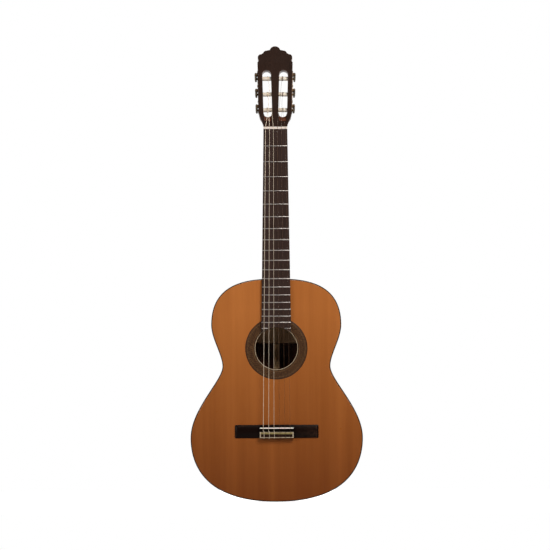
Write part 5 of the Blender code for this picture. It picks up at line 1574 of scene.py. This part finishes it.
def makeStage():
    look = stageLook
    shape = bmesh.new()
    rows = []
    for radius in (0.02, 0.3, 0.6, 0.9, look["floorRadius"]):
        rows.append(addRow(shape, [(x, y, -0.0005) for x, y in circle(radius, 96)]))
    joinRows(shape, rows)
    shape.faces.new(rows[0])
    made, tree, surface = newMaterial("paleFloor")
    place = addNode(tree, "ShaderNodeTexCoord").outputs["Object"]
    cloud = noise(tree, place, 6.0, 3.0)
    tone = mixColour(tree, cloud, paint(*look["floorDark"]), paint(*look["floorLight"]))
    rough = between(tree, noise(tree, place, 60.0, 3.0), 0.3, 0.7, 0.6, 0.75)
    seen = addNode(tree, "ShaderNodeLightPath").outputs["Is Camera Ray"]
    tree.links.new(mixColour(tree, seen, paint(*look["floorBounce"]), tone), surface.inputs["Base Color"])
    tree.links.new(rough, surface.inputs["Roughness"])
    surface.inputs["Emission Color"].default_value = (1, 1, 1, 1)
    tree.links.new(calc(tree, "MULTIPLY", seen, 0.85), surface.inputs["Emission Strength"])
    floor = addObject("studio_floor", newMesh("studio_floor", shape))
    floor.data.materials.append(made)

    world = bpy.data.worlds.new("studio")
    bpy.context.scene.world = world
    world.use_nodes = True
    tree = world.node_tree
    back = tree.nodes["Background"]
    facing = addNode(tree, "ShaderNodeSeparateXYZ", {0: addNode(tree, "ShaderNodeTexCoord").outputs["Generated"]})
    soft = between(tree, facing.outputs[1], -1.0, 0.1, look["behindCamera"], look["fill"])
    soft = calc(tree, "ADD", soft, between(tree, facing.outputs[1], 0.1, 0.9, 0.0, look["backdrop"]))
    seen = addNode(tree, "ShaderNodeLightPath").outputs["Is Camera Ray"]
    strength = calc(tree, "MAXIMUM", seen, soft)
    back.inputs["Color"].default_value = (1, 1, 1, 1)
    tree.links.new(strength, back.inputs["Strength"])

    for name, place, aim, size, power, colour in look["lights"]:
        data = bpy.data.lights.new(name, "AREA")
        data.size = size
        data.energy = power
        data.color = colour
        lamp = addObject(name, data)
        lamp.location = place
        lamp.rotation_euler = (Vector(aim) - Vector(place)).to_track_quat("-Z", "Y").to_euler()

    data = bpy.data.cameras.new("camera")
    data.lens = data.sensor_width * look["cameraAway"] / look["seen"]
    data.clip_end = 300
    camera = addObject("camera", data)
    camera.location = (look["acrossAt"], faceY - look["cameraAway"], look["heightAt"])
    camera.rotation_euler = (math.pi / 2, look["roll"], 0)
    bpy.context.scene.camera = camera
    bpy.context.scene.view_settings.view_transform = "Standard"


def main():
    wood = {name: woodMaterial(name, look) for name, look in woods.items()}
    bone = {name: boneMaterial(name, look) for name, look in bones.items()}
    metal = {name: metalMaterial(name, look) for name, look in metals.items()}
    print("materials made")
    makeSoundboard(wood["cedarTop"], rosetteMaterial(), wood["darkBinding"])
    makeBindings(wood["darkBinding"], wood["purflingLine"])
    makeBack(wood["rosewoodBack"], wood["braceSpruce"])
    makeSides(wood["rosewoodSides"])
    makeNeckBlock(wood["blockWood"])
    print("body made")
    makeNeck(wood["neckWood"], wood["darkBinding"], wood["headVeneer"])
    print("neck and head made")
    makeFingerboard(wood["fingerboardWood"], metal["fretNickel"])
    makeNut(bone["nutBone"])
    makeBridge(wood["bridgeWood"])
    makeSaddle(bone["saddleBone"])
    makeTieInlay(bone["inlayBone"], bone["goldInlay"], wood["bridgeWood"])
    print("fingerboard and bridge made")
    makeTuners({"plateMetal": metal["plateBrass"], "gearMetal": metal["nickel"], "roller": bone["rollerBone"],
                "button": bone["buttonHorn"]})
    makeStrings(woundMaterial(), nylonMaterial())
    print("machines and strings made")
    bare = {"blockWood": ("tail_block",),
            "fanSpruce": ("fan_bracing", "top_lining_bass", "top_lining_treble", "back_lining_bass",
                          "back_lining_treble"),
            "braceSpruce": ("upper_harmonic_bar", "lower_harmonic_bar", "back_brace_lower", "back_brace_middle",
                            "back_brace_upper")}
    for finish, nodes in bare.items():
        for node in nodes:
            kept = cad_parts[node]
            kept.data.materials.clear()
            kept.data.materials.append(wood[finish])
    print("bare wood inside the body done")
    makeStage()


main()
